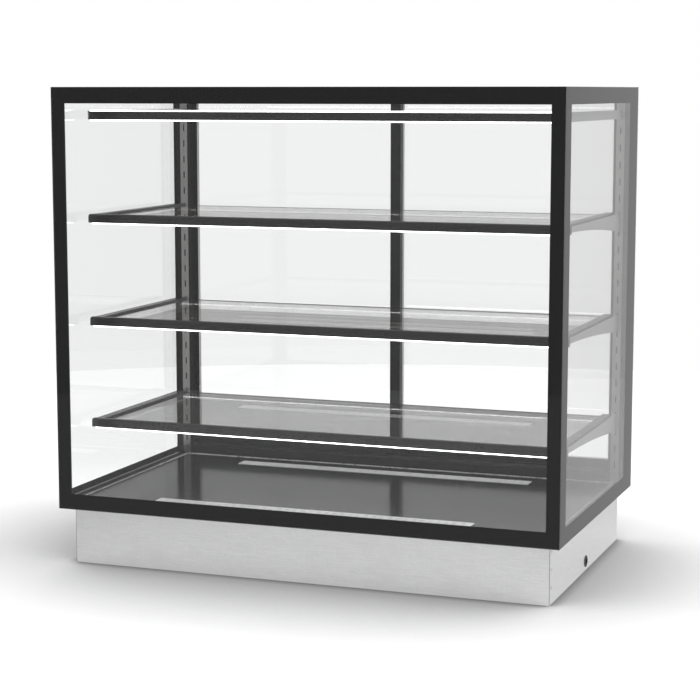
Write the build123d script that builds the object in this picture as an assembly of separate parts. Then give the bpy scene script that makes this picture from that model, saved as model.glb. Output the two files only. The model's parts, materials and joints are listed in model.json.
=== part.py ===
from build123d import *
import math
import os

# A heated display case that drops into a counter. Sizes are in millimetres.
# X runs to the right, Y from the shopper to the operator, Z up from the base floor.

# Overall sizes
case_width = 1200.0
case_depth = 720.0
glass_body_height = 977.0
base_height = 132.0
pane_thickness = 6.0

# Black members behind the printed borders
tube_wall = 2.0
bottom_member_height = 20.0
front_member_depth = 40.0
side_member_width = 24.0
ledge_width = 14.0
ledge_thickness = 3.0
top_member_height = 31.0
top_member_width = 30.0
front_post_width = 14.0
front_post_depth = 12.0

# Rear posts, sill and the frame behind the doors
rear_zone_depth = 77.0
rear_recess = 6.0
rear_post_width = 39.0
post_flange_depth = 23.0
jamb_width = 23.0
sill_height = 43.0
sill_sheet = 2.0

# Slotted uprights
upright_width = 20.0
upright_depth = 12.0
upright_wall = 2.0
upright_inset = 24.0
slot_width = 3.5
slot_height = 17.0
slot_pitch = 40.5
slot_margin = 6.0

# Sliding doors and their tracks
door_thickness = 14.0
door_rail = 20.0
door_stile = 26.0
door_glass_thickness = 4.0
door_glass_grip = 8.0
door_overlap = 28.0
door_end_gap = 1.0
post_to_door = 2.0
door_to_door = 8.0
track_sheet = 3.0
door_lift = 1.5
rib_width = 2.4
rib_height = 5.0
glide_groove_width = 6.0
glide_groove_depth = 7.0
glide_length = 40.0
glide_end_distance = 60.0
top_track_height = 18.0
channel_depth = 12.0
channel_play = 0.5
door_top_play = 4.0
pull_width = 9.0
pull_depth = 6.0
pull_length = 120.0
pull_wall = 1.2
pull_edge = 1.2

# Shelves and their arms
shelf_names = ("lower_shelf", "middle_shelf", "upper_shelf")
shelf_setback = 125.0
shelf_rear_gap = 38.0
shelf_end_gap = 16.0
lower_shelf_height = 191.0
steps_between_shelves = 6
shelf_glass_thickness = 6.0
shelf_side_rail = 21.0
shelf_rail_height = 12.0
shelf_bar_depth = 14.0
shelf_bar_height = 15.5
shelf_rim = 5.0
shelf_nose_radius = 6.0
shelf_ledge = 8.0
shelf_corner_radius = 8.0
shelf_corner_flat = 1.0
shelf_bar_overlap = 9.6
film_thickness = 0.4
arm_thickness = 2.5
arm_front_height = 12.5
arm_middle_height = 22.0
arm_rear_height = 44.0
arm_lip_width = 12.0
arm_lip_thickness = 2.0
hook_drop = 5.5
hook_height = 9.0
hook_nose = 6.0
hook_nose_depth = 3.0

# Light strips
light_channel_depth = 3.6
light_channel_margin = 1.6
light_board_thickness = 1.6
diffuser_height = 3.0
diffuser_margin = 1.0
diffuser_tongue = 1.4
light_end_margin = 2.0
top_bar_depth = 30.0
top_bar_height = 19.0
top_arm_drop = 4.0
top_arm_height = 21.0

# Deck tray and air grilles
deck_height = 20.0
tray_sheet = 1.5
tray_gap = 0.5
tray_rim_width = 4.0
tray_rim_height = 2.0
grille_length = 766.0
grille_width = 40.0
grille_thickness = 1.2
grille_overlap = 8.0
grille_front_distance = 16.0
grille_rear_distance = 52.0
air_slot_length = 12.0
air_slot_width = 4.0
air_slot_pitch = 19.0
air_slot_row_pitch = 9.0
air_slot_rows = 3

# Stainless base
base_sheet = 1.5
base_side_inset = 28.0
base_front_inset = 30.0
base_rear_inset = 24.0
flange_clearance = 2.0
base_seam = 0.4
base_return = 25.0
floor_lip = 15.0
floor_lip_corner = 34.0
rivet_hole_diameter = 3.4
rivet_shank_diameter = 3.2
rivet_head_diameter = 6.0
rivet_head_height = 1.4
rivet_pitch = 40.0
rivet_rows = 3
rivet_top_distance = 15.5
rivet_edge_distance = 16.0
cable_hole_diameter = 22.0
cable_bore_diameter = 16.0
grommet_flange_diameter = 28.0
grommet_flange_thickness = 2.0
cable_hole_height = 21.0
cable_hole_y = 7.0

# Warm air circulation
bulkhead_end_gap = 30.5
bulkhead_y = -30.0
bulkhead_foot = 20.0
fan_frame_size = 119.0
fan_frame_depth = 38.0
fan_bore = 112.0
fan_hub_diameter = 56.0
fan_hub_depth = 22.0
fan_stator_depth = 10.0
fan_arm_width = 8.0
fan_arm_root = 0.5
fan_axle_diameter = 5.0
fan_axle_clearance = 0.05
fan_tip_clearance = 1.0
fan_blade_count = 7
fan_blade_pitch = 38.0
fan_blade_thickness = 1.6
fan_blade_chord = 20.0
fan_rotor_gap = 0.6
element_tube_diameter = 8.5
element_leg = 620.0
element_spacing = 44.0
element_forward = 45.0
element_low_height = 44.0
element_tab_width = 24.0
element_tab_inset = 60.0
element_hole_clearance = 0.3
driver_size = (200.0, 60.0, 38.0)
driver_side_distance = 212.0
driver_rear_distance = 186.0
driver_foot = 12.0
driver_foot_thickness = 1.5

# Thermostat and switches on the operator's side of the sill
controller_side_distance = 200.0
controller_width = 70.5
controller_height = 28.5
controller_depth = 55.0
bezel_border = 3.5
bezel_thickness = 2.2
window_width = 40.0
window_height = 20.0
window_thickness = 1.0
window_shift = 11.0
button_width = 8.4
button_height = 5.4
button_gap = 0.3
button_proud = 1.0
button_pocket = 5.0
button_travel = 0.8
button_pitch = 8.0
button_shift = 25.0
switch_distance = 100.0
switch_pitch = 40.0
switch_body_width = 21.0
switch_body_height = 27.0
switch_body_depth = 24.0
switch_border = 2.0
switch_bezel_thickness = 2.0
rocker_width = 16.0
rocker_radius = 11.4
rocker_apex = 7.5
rocker_back = 4.0
rocker_tilt = 11.0
rocker_pivot_depth = 4.0
rocker_side_gap = 0.3
rocker_end_gap = 0.4
rocker_well_floor = 7.0
rocker_pin_diameter = 3.0
rocker_pin_clearance = 0.05
rocker_pin_length = 1.2

fit_gap = 0.3

# Planes that follow from the sizes above
half_width = case_width / 2
front_y = -case_depth / 2
rear_y = case_depth / 2
case_top = base_height + glass_body_height
side_inner = half_width - pane_thickness
front_inner = front_y + pane_thickness
top_under = case_top - pane_thickness
flange_top = base_height + base_sheet
member_top = base_height + bottom_member_height
side_member_inner = side_inner - side_member_width
front_member_back = front_inner + front_member_depth
ledge_top = flange_top + ledge_thickness
ledge_inner = side_member_inner - ledge_width
top_member_under = top_under - top_member_height

post_front = rear_y - rear_zone_depth
post_inner = side_inner - rear_post_width
jamb_front = post_front + post_flange_depth
jamb_inner = side_inner - jamb_width
frame_back = rear_y - rear_recess
sill_top = base_height + sill_height
track_floor = sill_top + track_sheet
top_track_under = top_under - top_track_height
channel_roof = top_track_under + channel_depth

inner_door_front = jamb_front + post_to_door
outer_door_front = inner_door_front + door_thickness + door_to_door
door_bottom = track_floor + door_lift
door_top = channel_roof - door_top_play
door_reach = jamb_inner - door_end_gap

shelf_front = front_y + shelf_setback
shelf_rear = post_front - shelf_rear_gap
shelf_bar_half = side_inner - shelf_end_gap
shelf_half = shelf_bar_half - shelf_bar_overlap
shelf_spacing = steps_between_shelves * slot_pitch
lowest_shelf_top = base_height + lower_shelf_height
shelf_tops = [lowest_shelf_top + step * shelf_spacing for step in range(len(shelf_names))]
arm_middle_x = side_inner - upright_inset
arm_front = shelf_front + shelf_bar_depth + fit_gap
light_half = shelf_half - light_end_margin
top_slot = shelf_tops[-1] - hook_drop + shelf_spacing
top_arm_under = top_slot - slot_height / 2 - top_arm_drop

deck_top = base_height + deck_height
deck_under = deck_top - tray_sheet
upright_bottom = deck_top + tray_rim_height
upright_top = top_track_under

base_half = half_width - base_side_inset
base_front_y = front_y + base_front_inset
base_rear_y = rear_y - base_rear_inset
flange_half = side_inner - flange_clearance
fan_height = base_sheet + fan_frame_size / 2

# Places shared by several pieces
door_middles = [front + door_thickness / 2 for front in (inner_door_front, outer_door_front)]
rib_clear_top = track_floor + rib_height + fit_gap
strip_channel_width = shelf_bar_depth - 2 * light_channel_margin
strip_middles = (shelf_front + shelf_bar_depth / 2, shelf_rear - shelf_bar_depth / 2)
top_channel_width = top_bar_depth - 2 * light_channel_margin
top_light_faces = ((top_arm_under, 1), (top_arm_under + top_bar_height, -1))
grille_middles = (
    front_member_back + grille_front_distance + grille_width / 2,
    post_front - grille_rear_distance - grille_width / 2,
)
rivet_heights = [base_height - rivet_top_distance - row * rivet_pitch for row in range(rivet_rows)]
rivet_y = base_front_y + rivet_edge_distance
element_high = element_low_height + element_spacing
element_y = bulkhead_y - element_forward
fan_rotor_front = bulkhead_y + fan_frame_depth - fan_stator_depth - fan_rotor_gap - fan_hub_depth
driver_x = driver_side_distance - base_half
driver_y = base_rear_y - driver_rear_distance
panel_z = base_height + sill_height / 2
controller_x = half_width - controller_side_distance
switch_x = controller_x - switch_distance
bezel_face = frame_back + bezel_thickness
window_x = controller_x - window_shift
button_x = controller_x + button_shift
button_heights = [panel_z + step * button_pitch for step in (1, 0, -1)]
switch_places = (switch_x, switch_x + switch_pitch)
rocker_pivot_y = frame_back - rocker_pivot_depth


def block(x_span, y_span, z_span):
    spans = (x_span, y_span, z_span)
    size = [high - low for low, high in spans]
    middle = [(high + low) / 2 for low, high in spans]
    return Pos(*middle) * Box(*size)


def about(middle, width):
    return (middle - width / 2, middle + width / 2)


def rod_x(x_span, y, z, diameter):
    length = x_span[1] - x_span[0]
    return Pos(sum(x_span) / 2, y, z) * Rot(0, 90, 0) * Cylinder(diameter / 2, length)


def rod_y(x, y_span, z, diameter):
    length = y_span[1] - y_span[0]
    return Pos(x, sum(y_span) / 2, z) * Rot(90, 0, 0) * Cylinder(diameter / 2, length)


def group(pieces):
    return Compound([solid for piece in pieces for solid in piece.solids()])


def both_sides(piece):
    return group([piece, mirror(piece, about=Plane.YZ)])


def save(node, piece):
    export_step(piece, f"parts/{node}.step")


# Glass box: the front pane runs edge to edge, the side panes butt against its back,
# and the top pane lies between them.
def glass_panes():
    full_height = (base_height, case_top)
    left = block((-half_width, -side_inner), (front_inner, rear_y), full_height)
    save("front_glass", block((-half_width, half_width), (front_y, front_inner), full_height))
    save("left_glass", left)
    save("right_glass", mirror(left, about=Plane.YZ))
    top_y = (front_inner, frame_back)
    save("top_glass", block((-side_inner, side_inner), top_y, (top_under, case_top)))


# Bottom members are tubes with a ledge along their inner foot that carries the deck tray.
def front_bottom_member():
    x_span = (-side_inner, side_inner)
    tube = block(x_span, (front_inner, front_member_back), (flange_top, member_top))
    inside_y = (front_inner + tube_wall, front_member_back - tube_wall)
    tube -= block(x_span, inside_y, (flange_top + tube_wall, member_top - tube_wall))
    ledge_y = (front_member_back, front_member_back + ledge_width)
    return tube + block((-ledge_inner, ledge_inner), ledge_y, (flange_top, ledge_top))


def side_bottom_member():
    y_span = (front_member_back, post_front)
    tube = block((side_member_inner, side_inner), y_span, (flange_top, member_top))
    inside_x = (side_member_inner + tube_wall, side_inner - tube_wall)
    tube -= block(inside_x, y_span, (flange_top + tube_wall, member_top - tube_wall))
    return tube + block((ledge_inner, side_member_inner), y_span, (flange_top, ledge_top))


def front_top_member():
    x_span = (-side_inner, side_inner)
    y_span = (front_inner, front_inner + top_member_width)
    tube = block(x_span, y_span, (top_member_under, top_under))
    inside_y = (y_span[0] + tube_wall, y_span[1] - tube_wall)
    return tube - block(x_span, inside_y, (top_member_under + tube_wall, top_under - tube_wall))


def side_top_member():
    x_span = (side_inner - top_member_width, side_inner)
    y_span = (front_inner + top_member_width, post_front)
    tube = block(x_span, y_span, (top_member_under, top_under))
    inside_x = (x_span[0] + tube_wall, x_span[1] - tube_wall)
    return tube - block(inside_x, y_span, (top_member_under + tube_wall, top_under - tube_wall))


def front_post():
    x_span = (side_inner - front_post_width, side_inner)
    y_span = (front_inner, front_inner + front_post_depth)
    z_span = (member_top, top_member_under)
    tube = block(x_span, y_span, z_span)
    inside_x = (x_span[0] + tube_wall, x_span[1] - tube_wall)
    return tube - block(inside_x, (y_span[0] + tube_wall, y_span[1] - tube_wall), z_span)


# A rear post is an L: a flange facing the shelves, grooved for the upright,
# and a hollow jamb behind it that the doors close against.
def rear_post():
    z_span = (flange_top, top_under)
    flange = block((post_inner, side_inner), (post_front, jamb_front), z_span)
    jamb = block((jamb_inner, side_inner), (jamb_front, frame_back), z_span)
    hollow_x = (jamb_inner + tube_wall, side_inner - tube_wall)
    jamb -= block(hollow_x, (jamb_front + tube_wall, frame_back - tube_wall), z_span)
    groove_x = about(arm_middle_x, upright_width)
    groove = block(groove_x, (post_front, post_front + upright_depth), (upright_bottom, upright_top))
    return flange + jamb - groove


# The full width between the rear posts, stepped round their front flanges.
def between_posts(y_span, z_span):
    front = block((-post_inner, post_inner), (y_span[0], jamb_front), z_span)
    return front + block((-jamb_inner, jamb_inner), (jamb_front, y_span[1]), z_span)


def rear_sill():
    sill = between_posts((post_front, frame_back), (flange_top, sill_top))
    inside_y = (post_front + sill_sheet, frame_back - sill_sheet)
    sill -= block((-jamb_inner, jamb_inner), inside_y, (flange_top, sill_top - sill_sheet))
    ledge_y = (post_front - ledge_width, post_front)
    sill += block((-ledge_inner, ledge_inner), ledge_y, (flange_top, ledge_top))
    wall_y = (frame_back - sill_sheet, frame_back)
    sill -= block(about(controller_x, controller_width), wall_y, about(panel_z, controller_height))
    for place in switch_places:
        opening_x = about(place, switch_body_width)
        sill -= block(opening_x, wall_y, about(panel_z, switch_body_height))
    return sill


# Doors run on two ribs of the bottom track and in two channels of the top track.
def bottom_track():
    track = between_posts((post_front, frame_back), (sill_top, track_floor))
    for middle in door_middles:
        rib_z = (track_floor, track_floor + rib_height)
        track += block((-jamb_inner, jamb_inner), about(middle, rib_width), rib_z)
    return track


def top_track():
    track = between_posts((post_front, frame_back), (top_track_under, top_under))
    for middle in door_middles:
        channel_y = about(middle, door_thickness + 2 * channel_play)
        track -= block((-jamb_inner, jamb_inner), channel_y, (top_track_under, channel_roof))
    return track


def upright():
    x_span = about(arm_middle_x, upright_width)
    y_span = (post_front, post_front + upright_depth)
    z_span = (upright_bottom, upright_top)
    channel = block(x_span, y_span, z_span)
    hollow_x = about(arm_middle_x, upright_width - 2 * upright_wall)
    channel -= block(hollow_x, (post_front + upright_wall, y_span[1]), z_span)
    first_slot = shelf_tops[0] - hook_drop
    below = math.floor((first_slot - upright_bottom - slot_margin - slot_height / 2) / slot_pitch)
    above = math.floor((upright_top - slot_margin - slot_height / 2 - first_slot) / slot_pitch)
    for step in range(-below, above + 1):
        middle = first_slot + step * slot_pitch
        slot_y = (post_front, post_front + upright_wall)
        channel -= block(about(arm_middle_x, slot_width), slot_y, about(middle, slot_height))
    return channel


# One door: a frame round a thin pane, grooved underneath for its two glides.
def door_parts(name, x_span, front, pull_side):
    y_span = (front, front + door_thickness)
    z_span = (door_bottom, door_top)
    middle_y = sum(y_span) / 2
    opening_x = (x_span[0] + door_stile, x_span[1] - door_stile)
    opening_z = (door_bottom + door_rail, door_top - door_rail)
    pane_x = (opening_x[0] - door_glass_grip, opening_x[1] + door_glass_grip)
    pane_z = (opening_z[0] - door_glass_grip, opening_z[1] + door_glass_grip)
    pane = block(pane_x, about(middle_y, door_glass_thickness), pane_z)
    pane_groove = block(
        (pane_x[0] - fit_gap, pane_x[1] + fit_gap),
        about(middle_y, door_glass_thickness + 2 * fit_gap),
        (pane_z[0], pane_z[1] + fit_gap),
    )
    groove_y = about(middle_y, glide_groove_width)
    frame = block(x_span, y_span, z_span) - block(opening_x, y_span, opening_z) - pane_groove
    frame -= block(x_span, groove_y, (door_bottom, door_bottom + glide_groove_depth))

    glide_bottom = track_floor + fit_gap
    rib_gap_y = about(middle_y, rib_width + 2 * fit_gap)
    glides = []
    for end, inward in ((x_span[0], 1), (x_span[1], -1)):
        glide_x = about(end + inward * glide_end_distance, glide_length)
        glide_z = (glide_bottom, door_bottom + glide_groove_depth)
        glide = block(glide_x, about(middle_y, glide_groove_width - 2 * fit_gap), glide_z)
        glides.append(glide - block(glide_x, rib_gap_y, (glide_bottom, rib_clear_top)))

    outer_edge = x_span[0] if pull_side < 0 else x_span[1]
    pull_middle = outer_edge - pull_side * (pull_edge + pull_width / 2)
    pull_z = about((door_bottom + door_top) / 2, pull_length)
    pull_y = (y_span[1] - pull_depth, y_span[1])
    pull_body = block(about(pull_middle, pull_width), pull_y, pull_z)
    cup_z = (pull_z[0] + pull_wall, pull_z[1] - pull_wall)
    cup = block(about(pull_middle, pull_width - 2 * pull_wall), (pull_y[0] + pull_wall, pull_y[1]), cup_z)
    save(f"{name}_frame", frame - pull_body)
    save(f"{name}_glass", pane)
    save(f"{name}_glides", group(glides))
    save(f"{name}_pull", pull_body - cup)


# A strip light: a board at the roof of a channel, closed by a white diffuser.
def light_channel(y_middle, width, z_face, up):
    depth = up * light_channel_depth
    z_span = sorted((z_face, z_face + depth))
    return block((-light_half, light_half), about(y_middle, width), z_span)


def light_board(y_middle, width, z_face, up):
    roof = z_face + up * light_channel_depth
    z_span = sorted((roof, roof - up * light_board_thickness))
    return block((-light_half, light_half), about(y_middle, width - 2 * fit_gap), z_span)


def light_diffuser(y_middle, channel_width, bar_width, z_face, up):
    strip_z = sorted((z_face, z_face - up * diffuser_height))
    x_span = (-light_half, light_half)
    strip = block(x_span, about(y_middle, bar_width - 2 * diffuser_margin), strip_z)
    tongue_z = sorted((z_face, z_face + up * diffuser_tongue))
    return strip + block(x_span, about(y_middle, channel_width - 2 * fit_gap), tongue_z)


# The front bar is rounded at its ends and along its upper edge.
def shelf_front_bar(top):
    y_span = (shelf_front, shelf_front + shelf_bar_depth)
    z_span = (top - shelf_bar_height, top + shelf_rim)
    bar = block((-shelf_bar_half, shelf_bar_half), y_span, z_span)
    corners = bar.edges().filter_by(Axis.Z).group_by(Axis.Y)[0]
    bar = fillet(corners, min(shelf_corner_radius, shelf_bar_depth - shelf_corner_flat))
    nose = bar.edges().group_by(Axis.Z)[-1].sort_by(Axis.Y)[:-1]
    return fillet(nose, shelf_nose_radius)


# A shelf frame has a raised rim at its front and sides, a flush rear bar
# and a ledge for the glass. A shelf's top is the top of its glass.
def shelf_frame(top):
    bar_back = shelf_front + shelf_bar_depth
    rear_bar_front = shelf_rear - shelf_bar_depth
    rails_z = (top - shelf_rail_height, top + shelf_rim)
    frame = block((-shelf_half, shelf_half), (bar_back, shelf_rear), rails_z)
    bar_z = (top - shelf_bar_height, top)
    frame += block((-shelf_half, shelf_half), (rear_bar_front, shelf_rear), bar_z)
    opening_half = shelf_half - shelf_side_rail
    rim_z = (top, top + shelf_rim)
    frame -= block((-opening_half, opening_half), (bar_back, shelf_rear), rim_z)
    frame += shelf_front_bar(top)
    opening_y = (bar_back, rear_bar_front)
    frame -= block((-opening_half, opening_half), opening_y, (top - shelf_glass_thickness, top))
    inner_half = opening_half - shelf_ledge
    inner_y = (opening_y[0] + shelf_ledge, opening_y[1] - shelf_ledge)
    frame -= block((-inner_half, inner_half), inner_y, bar_z)
    for middle in strip_middles:
        frame -= light_channel(middle, strip_channel_width, bar_z[0], 1)
    return frame


def shelf_glass(top):
    half = shelf_half - shelf_side_rail - fit_gap
    y_span = (shelf_front + shelf_bar_depth + fit_gap, shelf_rear - shelf_bar_depth - fit_gap)
    return block((-half, half), y_span, (top - shelf_glass_thickness, top))


def heating_film(top):
    half = shelf_half - shelf_side_rail - shelf_ledge - fit_gap
    edge = shelf_bar_depth + shelf_ledge + fit_gap
    glass_under = top - shelf_glass_thickness
    y_span = (shelf_front + edge, shelf_rear - edge)
    return block((-half, half), y_span, (glass_under - film_thickness, glass_under))


def shelf_diffusers(top):
    face = top - shelf_bar_height
    return [
        light_diffuser(middle, strip_channel_width, shelf_bar_depth, face, 1)
        for middle in strip_middles
    ]


def shelf_boards(top):
    face = top - shelf_bar_height
    return [light_board(middle, strip_channel_width, face, 1) for middle in strip_middles]


# The hook passes through a slot, sits on its lower edge and drops behind the upright's face.
def arm_hook(slot_middle):
    seat = slot_middle - slot_height / 2
    nose_front = post_front + upright_wall + fit_gap
    nose_back = nose_front + hook_nose_depth
    x_span = about(arm_middle_x, arm_thickness)
    tab = block(x_span, (post_front, nose_back), (seat, seat + hook_height))
    return tab + block(x_span, (nose_front, nose_back), (seat - hook_nose, seat + hook_height))


# A shelf arm deepens towards the upright along one long arc.
def shelf_arm(top):
    front_foot = (arm_front, top - arm_front_height)
    middle_foot = ((arm_front + post_front) / 2, top - arm_middle_height)
    rear_foot = (post_front, top - arm_rear_height)
    outline = [
        ThreePointArc(front_foot, middle_foot, rear_foot),
        Line(rear_foot, (post_front, top)),
        Line((post_front, top), (arm_front, top)),
        Line((arm_front, top), front_foot),
    ]
    plate = extrude(Plane.YZ * make_face(outline), amount=arm_thickness)
    plate = Pos(arm_middle_x - arm_thickness / 2, 0, 0) * plate
    plate_inner = arm_middle_x - arm_thickness / 2
    lip_top = top - shelf_rail_height
    lip_x = (plate_inner - arm_lip_width, plate_inner)
    lip_y = (arm_front, shelf_rear - shelf_bar_depth - fit_gap)
    lip = block(lip_x, lip_y, (lip_top - arm_lip_thickness, lip_top))
    return plate + lip + arm_hook(top - hook_drop)


def top_light_body():
    y_span = (shelf_front, shelf_front + top_bar_depth)
    z_span = (top_arm_under, top_arm_under + top_bar_height)
    body = block((-shelf_half, shelf_half), y_span, z_span)
    for face, up in top_light_faces:
        body -= light_channel(sum(y_span) / 2, top_channel_width, face, up)
    return body


def top_light_diffusers():
    middle = shelf_front + top_bar_depth / 2
    return [
        light_diffuser(middle, top_channel_width, top_bar_depth, face, up)
        for face, up in top_light_faces
    ]


def top_light_boards():
    middle = shelf_front + top_bar_depth / 2
    return [light_board(middle, top_channel_width, face, up) for face, up in top_light_faces]


def top_light_arm():
    z_span = (top_arm_under, top_arm_under + top_arm_height)
    plate = block(about(arm_middle_x, arm_thickness), (shelf_front, post_front), z_span)
    return plate + arm_hook(top_slot)


# The deck is a lift-out tray with turned-down sides and a low raised rim.
def deck_tray():
    half = side_member_inner - tray_gap
    y_span = (front_member_back + tray_gap, post_front - tray_gap)
    inside_y = (y_span[0] + tray_sheet, y_span[1] - tray_sheet)
    tray = block((-half, half), y_span, (ledge_top, deck_top))
    tray -= block((tray_sheet - half, half - tray_sheet), inside_y, (ledge_top, deck_under))
    rim_z = (deck_top, deck_top + tray_rim_height)
    rim_y = (y_span[0] + tray_rim_width, y_span[1] - tray_rim_width)
    rim = block((-half, half), y_span, rim_z)
    tray += rim - block((tray_rim_width - half, half - tray_rim_width), rim_y, rim_z)
    for middle in grille_middles:
        opening_x = about(0, grille_length - 2 * grille_overlap)
        tray -= block(opening_x, about(middle, grille_width - 2 * grille_overlap), (deck_under, deck_top))
    return tray


def air_grille(middle):
    z_span = (deck_top, deck_top + grille_thickness)
    plate = block(about(0, grille_length), about(middle, grille_width), z_span)
    usable = grille_length - 2 * grille_overlap - air_slot_length
    columns = math.floor(usable / air_slot_pitch) + 1
    slot = SlotOverall(air_slot_length, air_slot_width)
    places = GridLocations(air_slot_pitch, air_slot_row_pitch, columns, air_slot_rows)
    slots = Sketch() + [Pos(0, middle, deck_top) * place * slot for place in places]
    return plate - extrude(slots, amount=grille_thickness)


# The base hangs from the frame by an outward flange that rests on the counter.
def base_front():
    wall_y = (base_front_y, base_front_y + base_sheet)
    panel = block((-base_half, base_half), wall_y, (0, flange_top))
    flange_y = (front_inner + flange_clearance, wall_y[1])
    panel += block((-flange_half, flange_half), flange_y, (base_height, flange_top))
    return_outer = base_half - base_sheet
    return_y = (wall_y[1], wall_y[1] + base_return)
    return_z = (floor_lip + tube_wall, base_height)
    fold = block((return_outer - base_sheet, return_outer), return_y, return_z)
    for height in rivet_heights:
        hole_x = (return_outer - base_sheet, return_outer)
        fold -= rod_x(hole_x, rivet_y, height, rivet_hole_diameter)
    return panel + fold + mirror(fold, about=Plane.YZ)


def base_wrap():
    side_y = (base_front_y + base_sheet + base_seam, base_rear_y)
    wall_x = (base_half - base_sheet, base_half)
    side = block(wall_x, side_y, (0, flange_top))
    flange_x = (base_half - base_sheet, flange_half)
    flange_y = (side_y[0], frame_back - flange_clearance)
    side += block(flange_x, flange_y, (base_height, flange_top))
    for height in rivet_heights:
        side -= rod_x(wall_x, rivet_y, height, rivet_hole_diameter)
    wrap = side + mirror(side, about=Plane.YZ)
    rear_y_span = (base_rear_y - base_sheet, base_rear_y)
    wrap += block((-base_half, base_half), rear_y_span, (0, flange_top))
    flange_rear = (base_rear_y, flange_y[1])
    wrap += block((-base_half, base_half), flange_rear, (base_height, flange_top))
    return wrap - rod_x(wall_x, cable_hole_y, cable_hole_height, cable_hole_diameter)


def base_floor():
    half = base_half - base_sheet - fit_gap
    y_span = (base_front_y + base_sheet + fit_gap, base_rear_y - base_sheet - fit_gap)
    floor = block((-half, half), y_span, (0, base_sheet))
    lip_z = (0, floor_lip)
    side_lip_y = (y_span[0] + floor_lip_corner, y_span[1] - floor_lip_corner)
    end_lip_x = (floor_lip_corner - half, half - floor_lip_corner)
    lip_x = (half - base_sheet, half)
    lip = block(lip_x, side_lip_y, lip_z)
    notch_diameter = grommet_flange_diameter + 2 * fit_gap
    notch = rod_x(lip_x, cable_hole_y, cable_hole_height, notch_diameter)
    floor += lip - notch + mirror(lip, about=Plane.YZ)
    floor += block(end_lip_x, (y_span[0], y_span[0] + base_sheet), lip_z)
    return floor + block(end_lip_x, (y_span[1] - base_sheet, y_span[1]), lip_z)


def base_rivets():
    inner_face = base_half - 2 * base_sheet
    rivets = []
    for height in rivet_heights:
        shank = rod_x((inner_face, base_half), rivet_y, height, rivet_shank_diameter)
        head_x = (base_half, base_half + rivet_head_height)
        rivets.append(shank + rod_x(head_x, rivet_y, height, rivet_head_diameter))
    return [piece for rivet in rivets for piece in (rivet, mirror(rivet, about=Plane.YZ))]


def cable_grommet():
    sleeve_x = (base_half - base_sheet, base_half)
    sleeve = rod_x(sleeve_x, cable_hole_y, cable_hole_height, cable_hole_diameter)
    outside_x = (base_half, base_half + grommet_flange_thickness)
    inside_x = (sleeve_x[0] - grommet_flange_thickness, sleeve_x[0])
    for flange_x in (outside_x, inside_x):
        sleeve += rod_x(flange_x, cable_hole_y, cable_hole_height, grommet_flange_diameter)
    bore_x = (inside_x[0], outside_x[1])
    return sleeve - rod_x(bore_x, cable_hole_y, cable_hole_height, cable_bore_diameter)


# The bulkhead carries the fan on its rear face and the element on two forward tabs.
def fan_bulkhead():
    half = base_half - base_sheet - bulkhead_end_gap
    x_span = (-half, half)
    sheet_y = (bulkhead_y - base_sheet, bulkhead_y)
    plate = block(x_span, sheet_y, (base_sheet, deck_under))
    foot_y = (bulkhead_y - bulkhead_foot, bulkhead_y)
    plate += block(x_span, foot_y, (base_sheet, 2 * base_sheet))
    plate -= rod_y(0, sheet_y, fan_height, fan_bore)
    tab_y = (bulkhead_y - element_forward - element_tab_width / 2, bulkhead_y)
    hole = element_tube_diameter + 2 * element_hole_clearance
    for x in (element_tab_inset - element_leg / 2, element_leg / 2 - element_tab_inset):
        tab_x = about(x, base_sheet)
        tab_z = (element_low_height - element_tab_width / 2, element_high + element_tab_width / 2)
        tab = block(tab_x, tab_y, tab_z)
        for height in (element_low_height, element_high):
            tab -= rod_x(tab_x, element_y, height, hole)
        plate += tab
    return plate


def heating_element():
    half = element_leg / 2
    low_start = (half, element_y, element_low_height)
    low_end = (-half, element_y, element_low_height)
    turn = (-half - element_spacing / 2, element_y, (element_low_height + element_high) / 2)
    high_end = (-half, element_y, element_high)
    path = [
        Line(low_start, low_end),
        ThreePointArc(low_end, turn, high_end),
        Line(high_end, (half, element_y, element_high)),
    ]
    section = Plane(origin=low_start, z_dir=(-1, 0, 0))
    return sweep(section * Circle(element_tube_diameter / 2), path=Wire(path))


def fan_frame():
    y_span = (bulkhead_y, bulkhead_y + fan_frame_depth)
    square_x = about(0, fan_frame_size)
    ring = block(square_x, y_span, about(fan_height, fan_frame_size))
    ring -= rod_y(0, y_span, fan_height, fan_bore)
    stator_y = (y_span[1] - fan_stator_depth, y_span[1])
    stator = rod_y(0, stator_y, fan_height, fan_hub_diameter)
    arm_length = fan_bore + 2 * fan_arm_root
    arms = block(about(0, arm_length), stator_y, about(fan_height, fan_arm_width))
    arms += block(about(0, fan_arm_width), stator_y, about(fan_height, arm_length))
    axle_y = (fan_rotor_front, stator_y[0])
    return ring + stator + arms + rod_y(0, axle_y, fan_height, fan_axle_diameter)


def fan_rotor():
    hub_y = (fan_rotor_front, fan_rotor_front + fan_hub_depth)
    rotor = rod_y(0, hub_y, fan_height, fan_hub_diameter)
    blade_outer = fan_bore / 2 - fan_tip_clearance
    blade_inner = fan_hub_diameter / 2 - fan_blade_thickness
    swept = rod_y(0, hub_y, fan_height, 2 * blade_outer)
    blade = Box(fan_blade_thickness, fan_blade_chord, 2 * (blade_outer - blade_inner))
    blade = Pos(0, 0, blade_outer) * (Rot(0, 0, fan_blade_pitch) * blade)
    centre = Pos(0, sum(hub_y) / 2, fan_height)
    for turn in range(fan_blade_count):
        angle = 360 * turn / fan_blade_count
        rotor += (centre * Rot(0, angle, 0) * blade) & swept
    bore = fan_axle_diameter + 2 * fan_axle_clearance
    return rotor - rod_y(0, hub_y, fan_height, bore)


def led_driver():
    width, depth, height = driver_size
    y_span = about(driver_y, depth)
    body = block(about(driver_x, width), y_span, (base_sheet, base_sheet + height))
    foot_z = (base_sheet, base_sheet + driver_foot_thickness)
    return body + block(about(driver_x, width + 2 * driver_foot), y_span, foot_z)


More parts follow.
